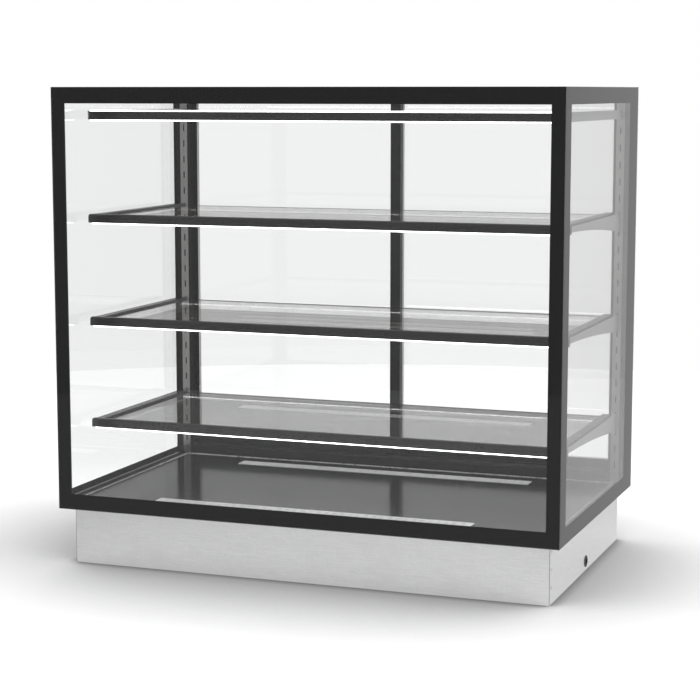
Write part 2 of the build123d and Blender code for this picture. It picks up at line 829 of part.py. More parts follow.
# The thermostat's front has a window and three short-travel buttons.
def controller_body():
    body_y = (frame_back - controller_depth, frame_back)
    body = block(about(controller_x, controller_width), body_y, about(panel_z, controller_height))
    bezel_y = (frame_back, bezel_face)
    bezel_x = about(controller_x, controller_width + 2 * bezel_border)
    body += block(bezel_x, bezel_y, about(panel_z, controller_height + 2 * bezel_border))
    body -= window_block()
    pocket_y = (bezel_face - button_pocket, bezel_face)
    for height in button_heights:
        pocket_x = about(button_x, button_width + 2 * button_gap)
        body -= block(pocket_x, pocket_y, about(height, button_height + 2 * button_gap))
    return body


def window_block():
    window_y = (bezel_face - window_thickness, bezel_face)
    return block(about(window_x, window_width), window_y, about(panel_z, window_height))


def button(height):
    back = bezel_face - button_pocket + button_travel + button_gap
    y_span = (back, bezel_face + button_proud)
    return block(about(button_x, button_width), y_span, about(height, button_height))


def switch_body(x):
    body_y = (frame_back - switch_body_depth, frame_back)
    body = block(about(x, switch_body_width), body_y, about(panel_z, switch_body_height))
    bezel_y = (frame_back, frame_back + switch_bezel_thickness)
    bezel_x = about(x, switch_body_width + 2 * switch_border)
    body += block(bezel_x, bezel_y, about(panel_z, switch_body_height + 2 * switch_border))
    well_half = rocker_radius + rocker_end_gap
    well_y = (rocker_pivot_y - rocker_well_floor, bezel_y[1])
    well_x = about(x, rocker_width + 2 * rocker_side_gap)
    body -= block(well_x, well_y, about(panel_z, 2 * well_half))
    pin = rocker_pin_diameter + 2 * rocker_pin_clearance
    pin_reach = rocker_width + 2 * rocker_side_gap + 2 * rocker_pin_length
    return body - rod_x(about(x, pin_reach), rocker_pivot_y, panel_z, pin)


# A rocker's two faces meet at a blunt edge, and its ends are arcs about the pivot.
def rocker(x):
    drop = rocker_apex - rocker_radius * math.tan(math.radians(rocker_tilt))
    wedge = Polygon(
        (-rocker_back, -rocker_radius),
        (drop, -rocker_radius),
        (rocker_apex, 0),
        (drop, rocker_radius),
        (-rocker_back, rocker_radius),
        align=None,
    )
    profile = wedge & Circle(rocker_radius)
    body = extrude(Plane.YZ * profile, amount=rocker_width / 2, both=True)
    body = Pos(x, rocker_pivot_y, panel_z) * Rot(-rocker_tilt, 0, 0) * body
    pin_reach = rocker_width + 2 * rocker_pin_length
    return body + rod_x(about(x, pin_reach), rocker_pivot_y, panel_z, rocker_pin_diameter)


os.makedirs("parts", exist_ok=True)

glass_panes()
save("front_bottom_member", front_bottom_member())
save("side_bottom_members", both_sides(side_bottom_member()))
save("front_top_member", front_top_member())
save("side_top_members", both_sides(side_top_member()))
save("front_posts", both_sides(front_post()))
save("rear_posts", both_sides(rear_post()))
save("rear_sill", rear_sill())
save("bottom_door_track", bottom_track())
save("top_door_track", top_track())
save("right_upright", upright())
save("left_upright", mirror(upright(), about=Plane.YZ))

door_parts("inner_door", (-door_reach, door_overlap / 2), inner_door_front, -1)
door_parts("outer_door", (-door_overlap / 2, door_reach), outer_door_front, 1)

for shelf, top in zip(shelf_names, shelf_tops):
    save(f"{shelf}_frame", shelf_frame(top))
    save(f"{shelf}_glass", shelf_glass(top))
    save(f"{shelf}_diffusers", group(shelf_diffusers(top)))
    save(f"{shelf}_arms", both_sides(shelf_arm(top)))
save("shelf_heating_films", group([heating_film(top) for top in shelf_tops]))
boards = [board for top in shelf_tops for board in shelf_boards(top)]
save("light_boards", group(boards + top_light_boards()))
save("top_light_body", top_light_body())
save("top_light_diffusers", group(top_light_diffusers()))
save("top_light_arms", both_sides(top_light_arm()))

save("deck_tray", deck_tray())
save("air_grilles", group([air_grille(middle) for middle in grille_middles]))
save("base_front", base_front())
save("base_wrap", base_wrap())
save("base_floor", base_floor())
save("base_rivets", group(base_rivets()))
save("cable_grommet", cable_grommet())
save("fan_bulkhead", fan_bulkhead())
save("fan_frame", fan_frame())
save("fan_rotor", fan_rotor())
save("heating_element", heating_element())
save("led_driver", led_driver())

save("controller_body", controller_body())
save("controller_window", window_block())
for name, height in zip(("up_button", "set_button", "down_button"), button_heights):
    save(name, button(height))
save("switch_bodies", group([switch_body(x) for x in switch_places]))
save("light_rocker", rocker(switch_places[0]))
save("heat_rocker", rocker(switch_places[1]))
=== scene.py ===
import json
import math

import bmesh
import bpy
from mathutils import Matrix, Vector
from mathutils.bvhtree import BVHTree


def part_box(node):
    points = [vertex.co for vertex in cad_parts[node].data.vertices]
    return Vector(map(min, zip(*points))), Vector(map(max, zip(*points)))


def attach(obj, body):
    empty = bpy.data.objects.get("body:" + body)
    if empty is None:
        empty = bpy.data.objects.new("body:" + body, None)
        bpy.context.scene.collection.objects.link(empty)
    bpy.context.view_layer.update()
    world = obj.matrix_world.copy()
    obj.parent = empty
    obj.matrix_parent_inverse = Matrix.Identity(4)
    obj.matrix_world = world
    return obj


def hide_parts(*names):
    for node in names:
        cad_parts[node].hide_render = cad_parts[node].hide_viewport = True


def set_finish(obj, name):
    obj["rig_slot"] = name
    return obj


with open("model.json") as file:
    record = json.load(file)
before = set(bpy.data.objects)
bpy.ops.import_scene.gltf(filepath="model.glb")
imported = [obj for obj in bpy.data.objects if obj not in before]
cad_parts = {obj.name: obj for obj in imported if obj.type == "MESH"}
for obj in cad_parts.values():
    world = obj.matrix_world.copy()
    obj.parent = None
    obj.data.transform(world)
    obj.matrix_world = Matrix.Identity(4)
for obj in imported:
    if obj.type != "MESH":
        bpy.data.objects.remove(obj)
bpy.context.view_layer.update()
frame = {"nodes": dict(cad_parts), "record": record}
nodes = frame["nodes"]
print("frame loaded,", len(nodes), "nodes")

# The camera stands to the right of the case and a little above its top.
cameraSettings = {
    "place": (1.5657, -4.2535, 1.0994),
    "yaw": 20.296,
    "pitch": 7.677,
    "lens": 98.74,
    "sensor": 36.0,
    "reach": 60.0,
}


def makeCamera(settings):
    data = bpy.data.cameras.new("studioCamera")
    data.lens = settings["lens"]
    data.sensor_width = settings["sensor"]
    data.clip_end = settings["reach"]
    camera = bpy.data.objects.new("studioCamera", data)
    yaw, pitch = math.radians(settings["yaw"]), math.radians(settings["pitch"])
    level = math.cos(pitch)
    look = Vector((-math.sin(yaw) * level, math.cos(yaw) * level, -math.sin(pitch)))
    camera.location = settings["place"]
    camera.rotation_mode = "QUATERNION"
    camera.rotation_quaternion = look.to_track_quat("-Z", "Y")
    bpy.context.scene.collection.objects.link(camera)
    bpy.context.scene.camera = camera


makeCamera(cameraSettings)
bpy.context.scene.view_settings.view_transform = "Standard"
print("camera placed")


# Node helpers
def setInputs(tree, node, values):
    # A socket is linked and anything else becomes the input's own value.
    for name, value in values.items():
        if isinstance(value, bpy.types.NodeSocket):
            tree.links.new(value, node.inputs[name])
        else:
            node.inputs[name].default_value = value


def addNode(tree, kind, values=None, **settings):
    node = tree.nodes.new("ShaderNode" + kind)
    for name, value in settings.items():
        setattr(node, name, value)
    setInputs(tree, node, values or {})
    return node


def doMath(tree, operation, first, second=0.0):
    node = addNode(tree, "Math", {0: first, 1: second}, operation=operation)
    return node.outputs[0]


def addShare(tree, value, mask, amount):
    return doMath(tree, "ADD", value, doMath(tree, "MULTIPLY", mask, amount))


def remap(tree, value, low, high, newLow=0.0, newHigh=1.0):
    values = {"Value": value, "From Min": low, "From Max": high, "To Min": newLow, "To Max": newHigh}
    return addNode(tree, "MapRange", values).outputs[0]


# Nearly all of a noise texture's values lie between these two.
usualNoise = {"low": 0.3, "high": 0.7}


def spread(tree, noise, newLow=0.0, newHigh=1.0):
    return remap(tree, noise, usualNoise["low"], usualNoise["high"], newLow, newHigh)


def vary(tree, noise, middle, drift):
    return spread(tree, noise, middle - drift, middle + drift)


def mixColour(tree, share, first, second):
    node = addNode(tree, "Mix", {0: share, 6: first, 7: second}, data_type="RGBA")
    return node.outputs[2]


def noiseAt(tree, vector, scale, detail, roughness, distortion):
    values = {"Vector": vector, "Scale": scale, "Detail": detail, "Roughness": roughness}
    values["Distortion"] = distortion
    return addNode(tree, "TexNoise", values).outputs[0]


def placeOn(tree):
    return addNode(tree, "TexCoord").outputs["Object"]


def feed(tree, value, node, socketName):
    tree.links.new(value, node.inputs[socketName])


def makeGroup(name, inputs, outputs):
    tree = bpy.data.node_groups.new(name, "ShaderNodeTree")
    for socketName, value in inputs.items():
        kind = "NodeSocketVector" if isinstance(value, tuple) else "NodeSocketFloat"
        socket = tree.interface.new_socket(name=socketName, in_out="INPUT", socket_type=kind)
        socket.default_value = value
    for socketName in outputs:
        tree.interface.new_socket(name=socketName, in_out="OUTPUT", socket_type="NodeSocketFloat")
    return tree, tree.nodes.new("NodeGroupInput").outputs, tree.nodes.new("NodeGroupOutput").inputs


def useGroup(tree, group, values):
    node = tree.nodes.new("ShaderNodeGroup")
    node.node_tree = group
    setInputs(tree, node, values)
    return node.outputs


# Effects that several finishes share. Each noise is (detail, roughness, distortion).
effects = {
    "grain": {"streaks": (4.0, 0.6, 0.0), "fine": (2.0, 0.5, 0.0), "fineTimes": 3.7},
    "edgeWearAndHighlight": {"flat": 0.995, "sharp": 0.80, "noise": (5.0, 0.65, 0.0), "kept": 0.42, "rubbedAndHighlight": 0.62},
    "settledDust": {"noise": (6.0, 0.7, 0.0), "thin": 0.35, "thick": 0.75, "least": 0.15, "steepest": 0.3},
    "handMarks": {
        "areas": (3.0, 0.5, 0.6), "clean": 0.52, "handled": 0.70,
        "wipes": (5.0, 0.7, 1.4), "faint": 0.35, "strong": 0.7, "least": 0.2, "wipeTimes": 6.0,
    },
    "skinTexture": {"heights": (2.0, 0.45, 0.0), "drift": (4.0, 0.55, 0.0), "driftTimes": 0.012},
}


def makeGrain(look):
    sockets = {"Stretch": (1.0, 1.0, 1.0), "Scale": 100.0}
    tree, given, result = makeGroup("grain", sockets, ["Streak", "Fine"])
    values = {0: placeOn(tree), 1: given["Stretch"]}
    stretched = addNode(tree, "VectorMath", values, operation="MULTIPLY").outputs[0]
    tree.links.new(noiseAt(tree, stretched, given["Scale"], *look["streaks"]), result["Streak"])
    fineScale = doMath(tree, "MULTIPLY", given["Scale"], look["fineTimes"])
    tree.links.new(noiseAt(tree, stretched, fineScale, *look["fine"]), result["Fine"])
    return tree


# Mask of sharp edges: real worn edges on most finishes, a painted highlight on the deck enamel's rim.
def makeEdgeWearAndHighlight(look):
    sockets = {"Radius": 0.001, "Amount": 0.5, "Breakup": 180.0}
    tree, given, result = makeGroup("edgeWearAndHighlight", sockets, ["Mask"])
    rounded = addNode(tree, "Bevel", {"Radius": given["Radius"]}, samples=4).outputs[0]
    values = {0: rounded, 1: addNode(tree, "NewGeometry").outputs["Normal"]}
    turn = addNode(tree, "VectorMath", values, operation="DOT_PRODUCT").outputs["Value"]
    edge = remap(tree, turn, look["flat"], look["sharp"])
    noise = noiseAt(tree, placeOn(tree), given["Breakup"], *look["noise"])
    broken = remap(tree, noise, look["kept"], look["rubbedAndHighlight"])
    mask = doMath(tree, "MULTIPLY", doMath(tree, "MULTIPLY", edge, broken), given["Amount"])
    tree.links.new(mask, result["Mask"])
    return tree


def makeSettledDust(look):
    tree, given, result = makeGroup("settledDust", {"Amount": 0.3, "Scale": 40.0}, ["Mask"])
    geometry = addNode(tree, "NewGeometry").outputs["Normal"]
    upward = addNode(tree, "SeparateXYZ", {0: geometry}).outputs["Z"]
    noise = noiseAt(tree, placeOn(tree), given["Scale"], *look["noise"])
    patches = remap(tree, noise, look["thin"], look["thick"], look["least"], 1.0)
    mask = doMath(tree, "MULTIPLY", remap(tree, upward, look["steepest"], 1.0), patches)
    tree.links.new(doMath(tree, "MULTIPLY", mask, given["Amount"]), result["Mask"])
    return tree


def makeHandMarks(look):
    tree, given, result = makeGroup("handMarks", {"Amount": 0.5, "Scale": 9.0}, ["Mask"])
    place = placeOn(tree)
    areas = noiseAt(tree, place, given["Scale"], *look["areas"])
    areas = remap(tree, areas, look["clean"], look["handled"])
    wipeScale = doMath(tree, "MULTIPLY", given["Scale"], look["wipeTimes"])
    wipes = noiseAt(tree, place, wipeScale, *look["wipes"])
    wipes = remap(tree, wipes, look["faint"], look["strong"], look["least"], 1.0)
    mask = doMath(tree, "MULTIPLY", doMath(tree, "MULTIPLY", areas, wipes), given["Amount"])
    tree.links.new(mask, result["Mask"])
    return tree


def makeSkinTexture(look):
    tree, given, result = makeGroup("skinTexture", {"Scale": 900.0}, ["Height", "Drift"])
    place = placeOn(tree)
    tree.links.new(noiseAt(tree, place, given["Scale"], *look["heights"]), result["Height"])
    driftScale = doMath(tree, "MULTIPLY", given["Scale"], look["driftTimes"])
    tree.links.new(noiseAt(tree, place, driftScale, *look["drift"]), result["Drift"])
    return tree


grain = makeGrain(effects["grain"])
edgeWearAndHighlight = makeEdgeWearAndHighlight(effects["edgeWearAndHighlight"])
settledDust = makeSettledDust(effects["settledDust"])
handMarks = makeHandMarks(effects["handMarks"])
skinTexture = makeSkinTexture(effects["skinTexture"])
print("shared effects built")


# Finishes
def newFinish(name, fixed):
    material = bpy.data.materials.new(name)
    material.use_nodes = True
    tree = material.node_tree
    shader = tree.nodes["Principled BSDF"]
    for socketName, value in fixed.items():
        shader.inputs[socketName].default_value = value
    return material, tree, shader


def addBump(tree, shader, height, distance):
    bump = addNode(tree, "Bump", {"Strength": 1.0, "Distance": distance, "Height": height})
    feed(tree, bump.outputs[0], shader, "Normal")


def coatedMetal(name, look):
    # Powder coat or satin anodising: fine skin, slow drift of tone, worn edges, settled dust.
    fixed = {"Coat Weight": look["coat"], "Coat Roughness": look["coatRough"]}
    fixed["Specular IOR Level"] = look["gloss"]
    material, tree, shader = newFinish(name, fixed)
    skin = useGroup(tree, skinTexture, {"Scale": look["skinScale"]})
    worn = useGroup(tree, edgeWearAndHighlight, {"Radius": look["edge"], "Amount": look["wearAndHighlight"]})[0]
    dusty = useGroup(tree, settledDust, {"Amount": look["dust"]})[0]
    touched = useGroup(tree, handMarks, {"Amount": look["marks"]})[0]
    colour = mixColour(tree, skin["Drift"], look["colour"], look["drift"])
    colour = mixColour(tree, worn, colour, look["bareAndHighlight"])
    colour = mixColour(tree, dusty, colour, look["dustColour"])
    feed(tree, colour, shader, "Base Color")
    rough = vary(tree, skin["Drift"], look["rough"], look["roughDrift"])
    rough = addShare(tree, rough, dusty, look["dustRough"])
    rough = addShare(tree, rough, touched, look["markRough"])
    feed(tree, rough, shader, "Roughness")
    feed(tree, doMath(tree, "MULTIPLY", worn, look["bareMetal"]), shader, "Metallic")
    addBump(tree, shader, skin["Height"], look["skinDepth"])
    return material


blackCoat = {
    "colour": (0.0035, 0.0035, 0.004, 1), "drift": (0.0055, 0.0055, 0.006, 1),
    "bareAndHighlight": (0.05, 0.05, 0.052, 1), "dustColour": (0.10, 0.098, 0.094, 1),
    "rough": 0.42, "roughDrift": 0.05, "dustRough": 0.3, "markRough": -0.12,
    "skinScale": 1400.0, "skinDepth": 0.000015, "edge": 0.0007, "wearAndHighlight": 0.15, "bareMetal": 0.4,
    "dust": 0.03, "marks": 0.4, "coat": 0.0, "coatRough": 0.25, "gloss": 0.2,
}
doorCoat = dict(blackCoat, rough=0.32, skinScale=1900.0, wearAndHighlight=0.3, marks=0.8, gloss=0.35)
shelfCoat = dict(blackCoat, rough=0.2, marks=0.5, gloss=0.5)
armCoat = dict(
    blackCoat, colour=(0.34, 0.34, 0.338, 1), drift=(0.39, 0.39, 0.386, 1), bareAndHighlight=(0.5, 0.5, 0.5, 1),
    rough=0.36, wearAndHighlight=0.3, dust=0.08, gloss=0.5,
)


def grainedMetal(name, look):
    # Brushed, drawn or rolled metal: streaks along the sheet in its tone, gloss and relief.
    fixed = {"Metallic": look["metallic"], "Anisotropic": look["anisotropy"]}
    material, tree, shader = newFinish(name, fixed)
    lines = useGroup(tree, grain, {"Stretch": look["stretch"], "Scale": look["grainScale"]})
    worn = useGroup(tree, edgeWearAndHighlight, {"Radius": look["edge"], "Amount": look["wearAndHighlight"]})[0]
    touched = useGroup(tree, handMarks, {"Amount": look["marks"], "Scale": look["markScale"]})[0]
    dusty = useGroup(tree, settledDust, {"Amount": look["dust"]})[0]
    colour = mixColour(tree, spread(tree, lines["Streak"]), look["dark"], look["light"])
    colour = mixColour(tree, touched, colour, look["touched"])
    colour = mixColour(tree, worn, colour, look["worn"])
    colour = mixColour(tree, dusty, colour, look["dustColour"])
    feed(tree, colour, shader, "Base Color")
    rough = vary(tree, lines["Fine"], look["rough"], look["roughDrift"])
    feed(tree, addShare(tree, rough, touched, look["markRough"]), shader, "Roughness")
    relief = addShare(tree, lines["Streak"], lines["Fine"], look["fineShare"])
    addBump(tree, shader, relief, look["depth"])
    return material


stainlessLook = {
    "dark": (0.63, 0.63, 0.635, 1), "light": (0.73, 0.73, 0.735, 1), "touched": (0.65, 0.645, 0.63, 1),
    "worn": (0.85, 0.85, 0.85, 1), "dustColour": (0.5, 0.49, 0.47, 1), "metallic": 1.0, "anisotropy": 0.3,
    "stretch": (0.02, 0.02, 1.0), "grainScale": 1100.0, "fineShare": 0.5, "depth": 0.00002,
    "rough": 0.30, "roughDrift": 0.06, "edge": 0.0008, "wearAndHighlight": 0.5,
    "marks": 0.5, "markScale": 7.0, "markRough": 0.08, "dust": 0.1,
}
trackLook = dict(
    stainlessLook, dark=(0.035, 0.035, 0.037, 1), light=(0.05, 0.05, 0.053, 1), rough=0.32,
    worn=(0.35, 0.35, 0.36, 1), stretch=(0.02, 1.0, 1.0), grainScale=1600.0, marks=0.3, dust=0.2, wearAndHighlight=0.7,
)
zincLook = dict(
    stainlessLook, dark=(0.44, 0.43, 0.42, 1), light=(0.62, 0.605, 0.595, 1), rough=0.42,
    stretch=(1.0, 1.0, 0.05), grainScale=700.0, marks=0.6, markScale=30.0, markRough=0.12, wearAndHighlight=0.3,
)
grilleLook = dict(
    stainlessLook, dark=(0.93, 0.93, 0.92, 1), light=(0.97, 0.97, 0.96, 1), rough=0.3, metallic=0.1,
    stretch=(0.03, 1.0, 1.0), touched=(0.88, 0.875, 0.86, 1), dust=0.0,
)
rivetLook = dict(stainlessLook, stretch=(1.0, 1.0, 1.0), rough=0.33, marks=0.2)
fanMetalLook = dict(zincLook, stretch=(1.0, 1.0, 1.0), grainScale=400.0)


def galvanisedSheet(name, look):
    # Zinc spangle: flat crystals, each with its own tone and gloss.
    material, tree, shader = newFinish(name, {"Metallic": 1.0})
    crystals = addNode(tree, "TexVoronoi", {"Vector": placeOn(tree), "Scale": look["crystalScale"]})
    tone = addNode(tree, "SeparateColor", {0: crystals.outputs["Color"]}).outputs[0]
    dusty = useGroup(tree, settledDust, {"Amount": look["dust"]})[0]
    colour = mixColour(tree, tone, look["dark"], look["light"])
    feed(tree, mixColour(tree, dusty, colour, look["dustColour"]), shader, "Base Color")
    drift = look["roughDrift"]
    rough = remap(tree, tone, 0.0, 1.0, look["rough"] - drift, look["rough"] + drift)
    feed(tree, rough, shader, "Roughness")
    addBump(tree, shader, crystals.outputs["Distance"], look["depth"])
    return material


galvanisedLook = {
    "dark": (0.38, 0.40, 0.42, 1), "light": (0.60, 0.62, 0.64, 1), "dustColour": (0.30, 0.29, 0.27, 1),
    "rough": 0.42, "roughDrift": 0.12, "crystalScale": 120.0, "depth": 0.00003, "dust": 0.35,
}


def letLightThrough(tree, shader, shade):
    # Lamps and diffuse light pass straight through; the eye sees real refraction and gloss.
    rays = addNode(tree, "LightPath").outputs
    through = doMath(tree, "MAXIMUM", rays["Is Shadow Ray"], rays["Is Diffuse Ray"])
    clear = addNode(tree, "BsdfTransparent", {"Color": shade}).outputs[0]
    mixed = addNode(tree, "MixShader", {0: through, 1: shader.outputs[0], 2: clear}).outputs[0]
    feed(tree, mixed, tree.nodes["Material Output"], "Surface")


def clearGlass(name, look):
    fixed = {"Transmission Weight": 1.0, "IOR": look["ior"], "Metallic": 0.0, "Base Color": look["tint"]}
    material, tree, shader = newFinish(name, fixed)
    touched = useGroup(tree, handMarks, {"Amount": look["marks"], "Scale": look["markScale"]})[0]
    rough = remap(tree, touched, 0.0, 1.0, look["rough"], look["markRough"])
    feed(tree, rough, shader, "Roughness")
    wave = useGroup(tree, skinTexture, {"Scale": look["waveScale"]})
    addBump(tree, shader, wave["Height"], look["waveDepth"])
    letLightThrough(tree, shader, look["shade"])
    return material


paneLook = {
    "tint": (0.980, 0.983, 0.983, 1), "shade": (0.95, 0.955, 0.955, 1), "ior": 1.5, "rough": 0.0,
    "marks": 0.4, "markScale": 5.0, "markRough": 0.012, "waveScale": 6.0, "waveDepth": 0.000004,
}
doorPaneLook = dict(paneLook, marks=0.7, markRough=0.03)
shelfPaneLook = dict(paneLook, marks=0.8, tint=(0.97, 0.98, 0.975, 1), markRough=0.05)


def printedInk(name, look):
    # Fired ceramic ink behind glass: dense black with a faint mottling from the screen print.
    material, tree, shader = newFinish(name, {"Specular IOR Level": look["gloss"]})
    skin = useGroup(tree, skinTexture, {"Scale": look["meshScale"]})
    feed(tree, mixColour(tree, skin["Drift"], look["colour"], look["thin"]), shader, "Base Color")
    feed(tree, spread(tree, skin["Height"], look["smooth"], look["rough"]), shader, "Roughness")
    addBump(tree, shader, skin["Height"], look["depth"])
    return material


inkLook = {
    "colour": (0.0022, 0.0022, 0.0025, 1), "thin": (0.0040, 0.0040, 0.0044, 1), "gloss": 0.1,
    "smooth": 0.45, "rough": 0.6, "meshScale": 2500.0, "depth": 0.00001,
}


def litDiffuser(name, look):
    # Opal strip, brighter over each light chip of the board behind it.
    fixed = {"Base Color": look["colour"], "Roughness": look["rough"], "Emission Strength": look["power"]}
    material, tree, shader = newFinish(name, fixed)
    along = addNode(tree, "SeparateXYZ", {0: placeOn(tree)}).outputs["X"]
    turn = doMath(tree, "MULTIPLY", along, 2 * math.pi / look["chipPitch"])
    glow = remap(tree, doMath(tree, "COSINE", turn), -1.0, 1.0, 1.0 - look["ripple"], 1.0)
    feed(tree, mixColour(tree, glow, look["between"], look["glow"]), shader, "Emission Color")
    return material


diffuserLook = {
    "colour": (0.9, 0.9, 0.88, 1), "rough": 0.35, "power": 4.0, "chipPitch": 0.012, "ripple": 0.6,
    "between": (0.82, 0.83, 0.86, 1), "glow": (1.0, 0.99, 0.97, 1),
}


def mouldedPlastic(name, look):
    # Moulded plastic or rubber: a fine skin, slow drift of tone, polished where it is touched.
    material, tree, shader = newFinish(name, {})
    skin = useGroup(tree, skinTexture, {"Scale": look["skinScale"]})
    touched = useGroup(tree, handMarks, {"Amount": look["marks"], "Scale": look["markScale"]})[0]
    worn = useGroup(tree, edgeWearAndHighlight, {"Radius": look["edge"], "Amount": look["wearAndHighlight"]})[0]
    colour = mixColour(tree, skin["Drift"], look["colour"], look["drift"])
    feed(tree, mixColour(tree, worn, colour, look["worn"]), shader, "Base Color")
    feed(tree, addShare(tree, look["rough"], touched, look["markRough"]), shader, "Roughness")
    addBump(tree, shader, skin["Height"], look["skinDepth"])
    return material


blackPlastic = {
    "colour": (0.016, 0.016, 0.017, 1), "drift": (0.022, 0.022, 0.023, 1), "worn": (0.07, 0.07, 0.07, 1),
    "rough": 0.48, "skinScale": 2600.0, "skinDepth": 0.00004,
    "marks": 0.8, "markScale": 60.0, "markRough": -0.15, "edge": 0.0005, "wearAndHighlight": 0.5,
}
fanPlasticLook = dict(blackPlastic, rough=0.55)
buttonLook = dict(blackPlastic, colour=(0.10, 0.10, 0.105, 1), drift=(0.13, 0.13, 0.135, 1), rough=0.42)
switchLook = dict(blackPlastic, colour=(0.012, 0.012, 0.012, 1), rough=0.4)
rubberLook = dict(
    blackPlastic, colour=(0.05, 0.05, 0.05, 1), drift=(0.07, 0.07, 0.07, 1), rough=0.6, skinScale=1500.0,
)
nylonLook = dict(
    blackPlastic, colour=(0.62, 0.60, 0.55, 1), drift=(0.55, 0.53, 0.48, 1), worn=(0.7, 0.69, 0.66, 1),
)
driverLook = dict(
    blackPlastic, colour=(0.72, 0.72, 0.71, 1), drift=(0.66, 0.66, 0.65, 1), worn=(0.5, 0.5, 0.5, 1),
)
boardLook = dict(
    blackPlastic, colour=(0.80, 0.80, 0.77, 1), drift=(0.74, 0.74, 0.71, 1), worn=(0.6, 0.5, 0.3, 1),
    rough=0.35,
)
lightRockerLook = dict(
    blackPlastic, colour=(0.10, 0.42, 0.08, 1), drift=(0.08, 0.36, 0.07, 1), rough=0.30, skinDepth=0.00001,
)
heatRockerLook = dict(lightRockerLook, colour=(0.50, 0.02, 0.015, 1), drift=(0.42, 0.02, 0.015, 1))


def glossEnamel(name, look):
    # Fired black enamel: deep gloss, plate scuffs, a little dust, and a near-white painted highlight along
    # the rim's edges.
    fixed = {"Coat Roughness": look["coatRough"], "Coat IOR": 1.5, "Specular IOR Level": look["gloss"]}
    material, tree, shader = newFinish(name, fixed)
    skin = useGroup(tree, skinTexture, {"Scale": look["skinScale"]})
    scuffs = useGroup(tree, handMarks, {"Amount": look["scuffs"], "Scale": look["scuffScale"]})[0]
    dusty = useGroup(tree, settledDust, {"Amount": look["dust"], "Scale": look["dustScale"]})[0]
    # Here the edge mask paints the rim's highlight in near-white colour; it is not wear.
    rimHighlight = {"Radius": look["edge"], "Amount": look["wearAndHighlight"], "Breakup": look["breakup"]}
    rubbedAndHighlight = useGroup(tree, edgeWearAndHighlight, rimHighlight)[0]
    colour = mixColour(tree, skin["Drift"], look["colour"], look["drift"])
    colour = mixColour(tree, dusty, colour, look["dustColour"])
    feed(tree, mixColour(tree, rubbedAndHighlight, colour, look["bareAndHighlight"]), shader, "Base Color")
    feed(tree, addShare(tree, look["rough"], scuffs, look["scuffRough"]), shader, "Roughness")
    coat = remap(tree, scuffs, 0.0, 1.0, look["coat"], look["scuffedCoat"])
    feed(tree, coat, shader, "Coat Weight")
    addBump(tree, shader, skin["Height"], look["skinDepth"])
    return material


enamelLook = {
    "colour": (0.006, 0.006, 0.0065, 1), "drift": (0.009, 0.009, 0.0095, 1),
    "dustColour": (0.2, 0.19, 0.18, 1), "dust": 0.04, "dustScale": 60.0,
    "rough": 0.14, "gloss": 0.16, "coat": 0.06, "coatRough": 0.04, "skinScale": 260.0, "skinDepth": 0.00001,
    "scuffs": 0.2, "scuffScale": 14.0, "scuffRough": 0.22, "scuffedCoat": 0.036,
    # Edge radius, strength and near-white colour of the painted highlight on the deck rim.
    "edge": 0.004, "wearAndHighlight": 6.0, "breakup": 300.0, "bareAndHighlight": (0.88, 0.88, 0.87, 1),
}


def elementSheath(name, look):
    # Heated alloy tube: straw and blue tempering colours in slow bands.
    material, tree, shader = newFinish(name, {"Metallic": 1.0})
    lines = useGroup(tree, grain, {"Stretch": look["stretch"], "Scale": look["grainScale"]})
    bands = useGroup(tree, skinTexture, {"Scale": look["bandScale"]})["Drift"]
    bands = remap(tree, bands, look["strawUpTo"], look["blueFrom"])
    colour = mixColour(tree, bands, look["straw"], look["blue"])
    feed(tree, mixColour(tree, lines["Streak"], colour, look["grey"]), shader, "Base Color")
    feed(tree, spread(tree, lines["Fine"], look["smooth"], look["rough"]), shader, "Roughness")
    addBump(tree, shader, lines["Streak"], look["depth"])
    return material


sheathLook = {
    "straw": (0.35, 0.26, 0.15, 1), "blue": (0.16, 0.17, 0.24, 1), "grey": (0.24, 0.23, 0.22, 1),
    "bandScale": 900.0, "strawUpTo": 0.35, "blueFrom": 0.65,
    "stretch": (0.05, 1.0, 1.0), "grainScale": 500.0, "smooth": 0.35, "rough": 0.5, "depth": 0.00002,
}


def heatingFilm(name, look):
    # Clear conductive film: almost unseen, with a faint bronze tone.
    material, tree, shader = newFinish(name, {"Metallic": 0.0, "Specular IOR Level": look["gloss"]})
    skin = useGroup(tree, skinTexture, {"Scale": look["skinScale"]})
    feed(tree, mixColour(tree, skin["Drift"], look["bronze"], look["pale"]), shader, "Base Color")
    feed(tree, spread(tree, skin["Height"], look["smooth"], look["rough"]), shader, "Roughness")
    feed(tree, spread(tree, skin["Drift"], look["thin"], look["dense"]), shader, "Alpha")
    return material


filmLook = {
    "bronze": (0.22, 0.18, 0.13, 1), "pale": (0.32, 0.28, 0.23, 1), "thin": 0.03, "dense": 0.06,
    "gloss": 0.2, "skinScale": 700.0, "smooth": 0.3, "rough": 0.4,
}


def displayWindow(name, look):
    # Dark red filter over the figures, clear and a little smeared by fingers.
    material, tree, shader = newFinish(name, {"Coat Weight": 1.0, "Coat Roughness": look["coatRough"]})
    touched = useGroup(tree, handMarks, {"Amount": 1.0, "Scale": look["markScale"]})[0]
    skin = useGroup(tree, skinTexture, {"Scale": look["skinScale"]})
    feed(tree, mixColour(tree, skin["Drift"], look["colour"], look["drift"]), shader, "Base Color")
    rough = remap(tree, touched, 0.0, 1.0, look["rough"], look["markRough"])
    feed(tree, rough, shader, "Roughness")
    return material


windowLook = {
    "colour": (0.020, 0.004, 0.004, 1), "drift": (0.028, 0.006, 0.005, 1), "coatRough": 0.03,
    "skinScale": 3000.0, "rough": 0.08, "markRough": 0.3, "markScale": 90.0,
}

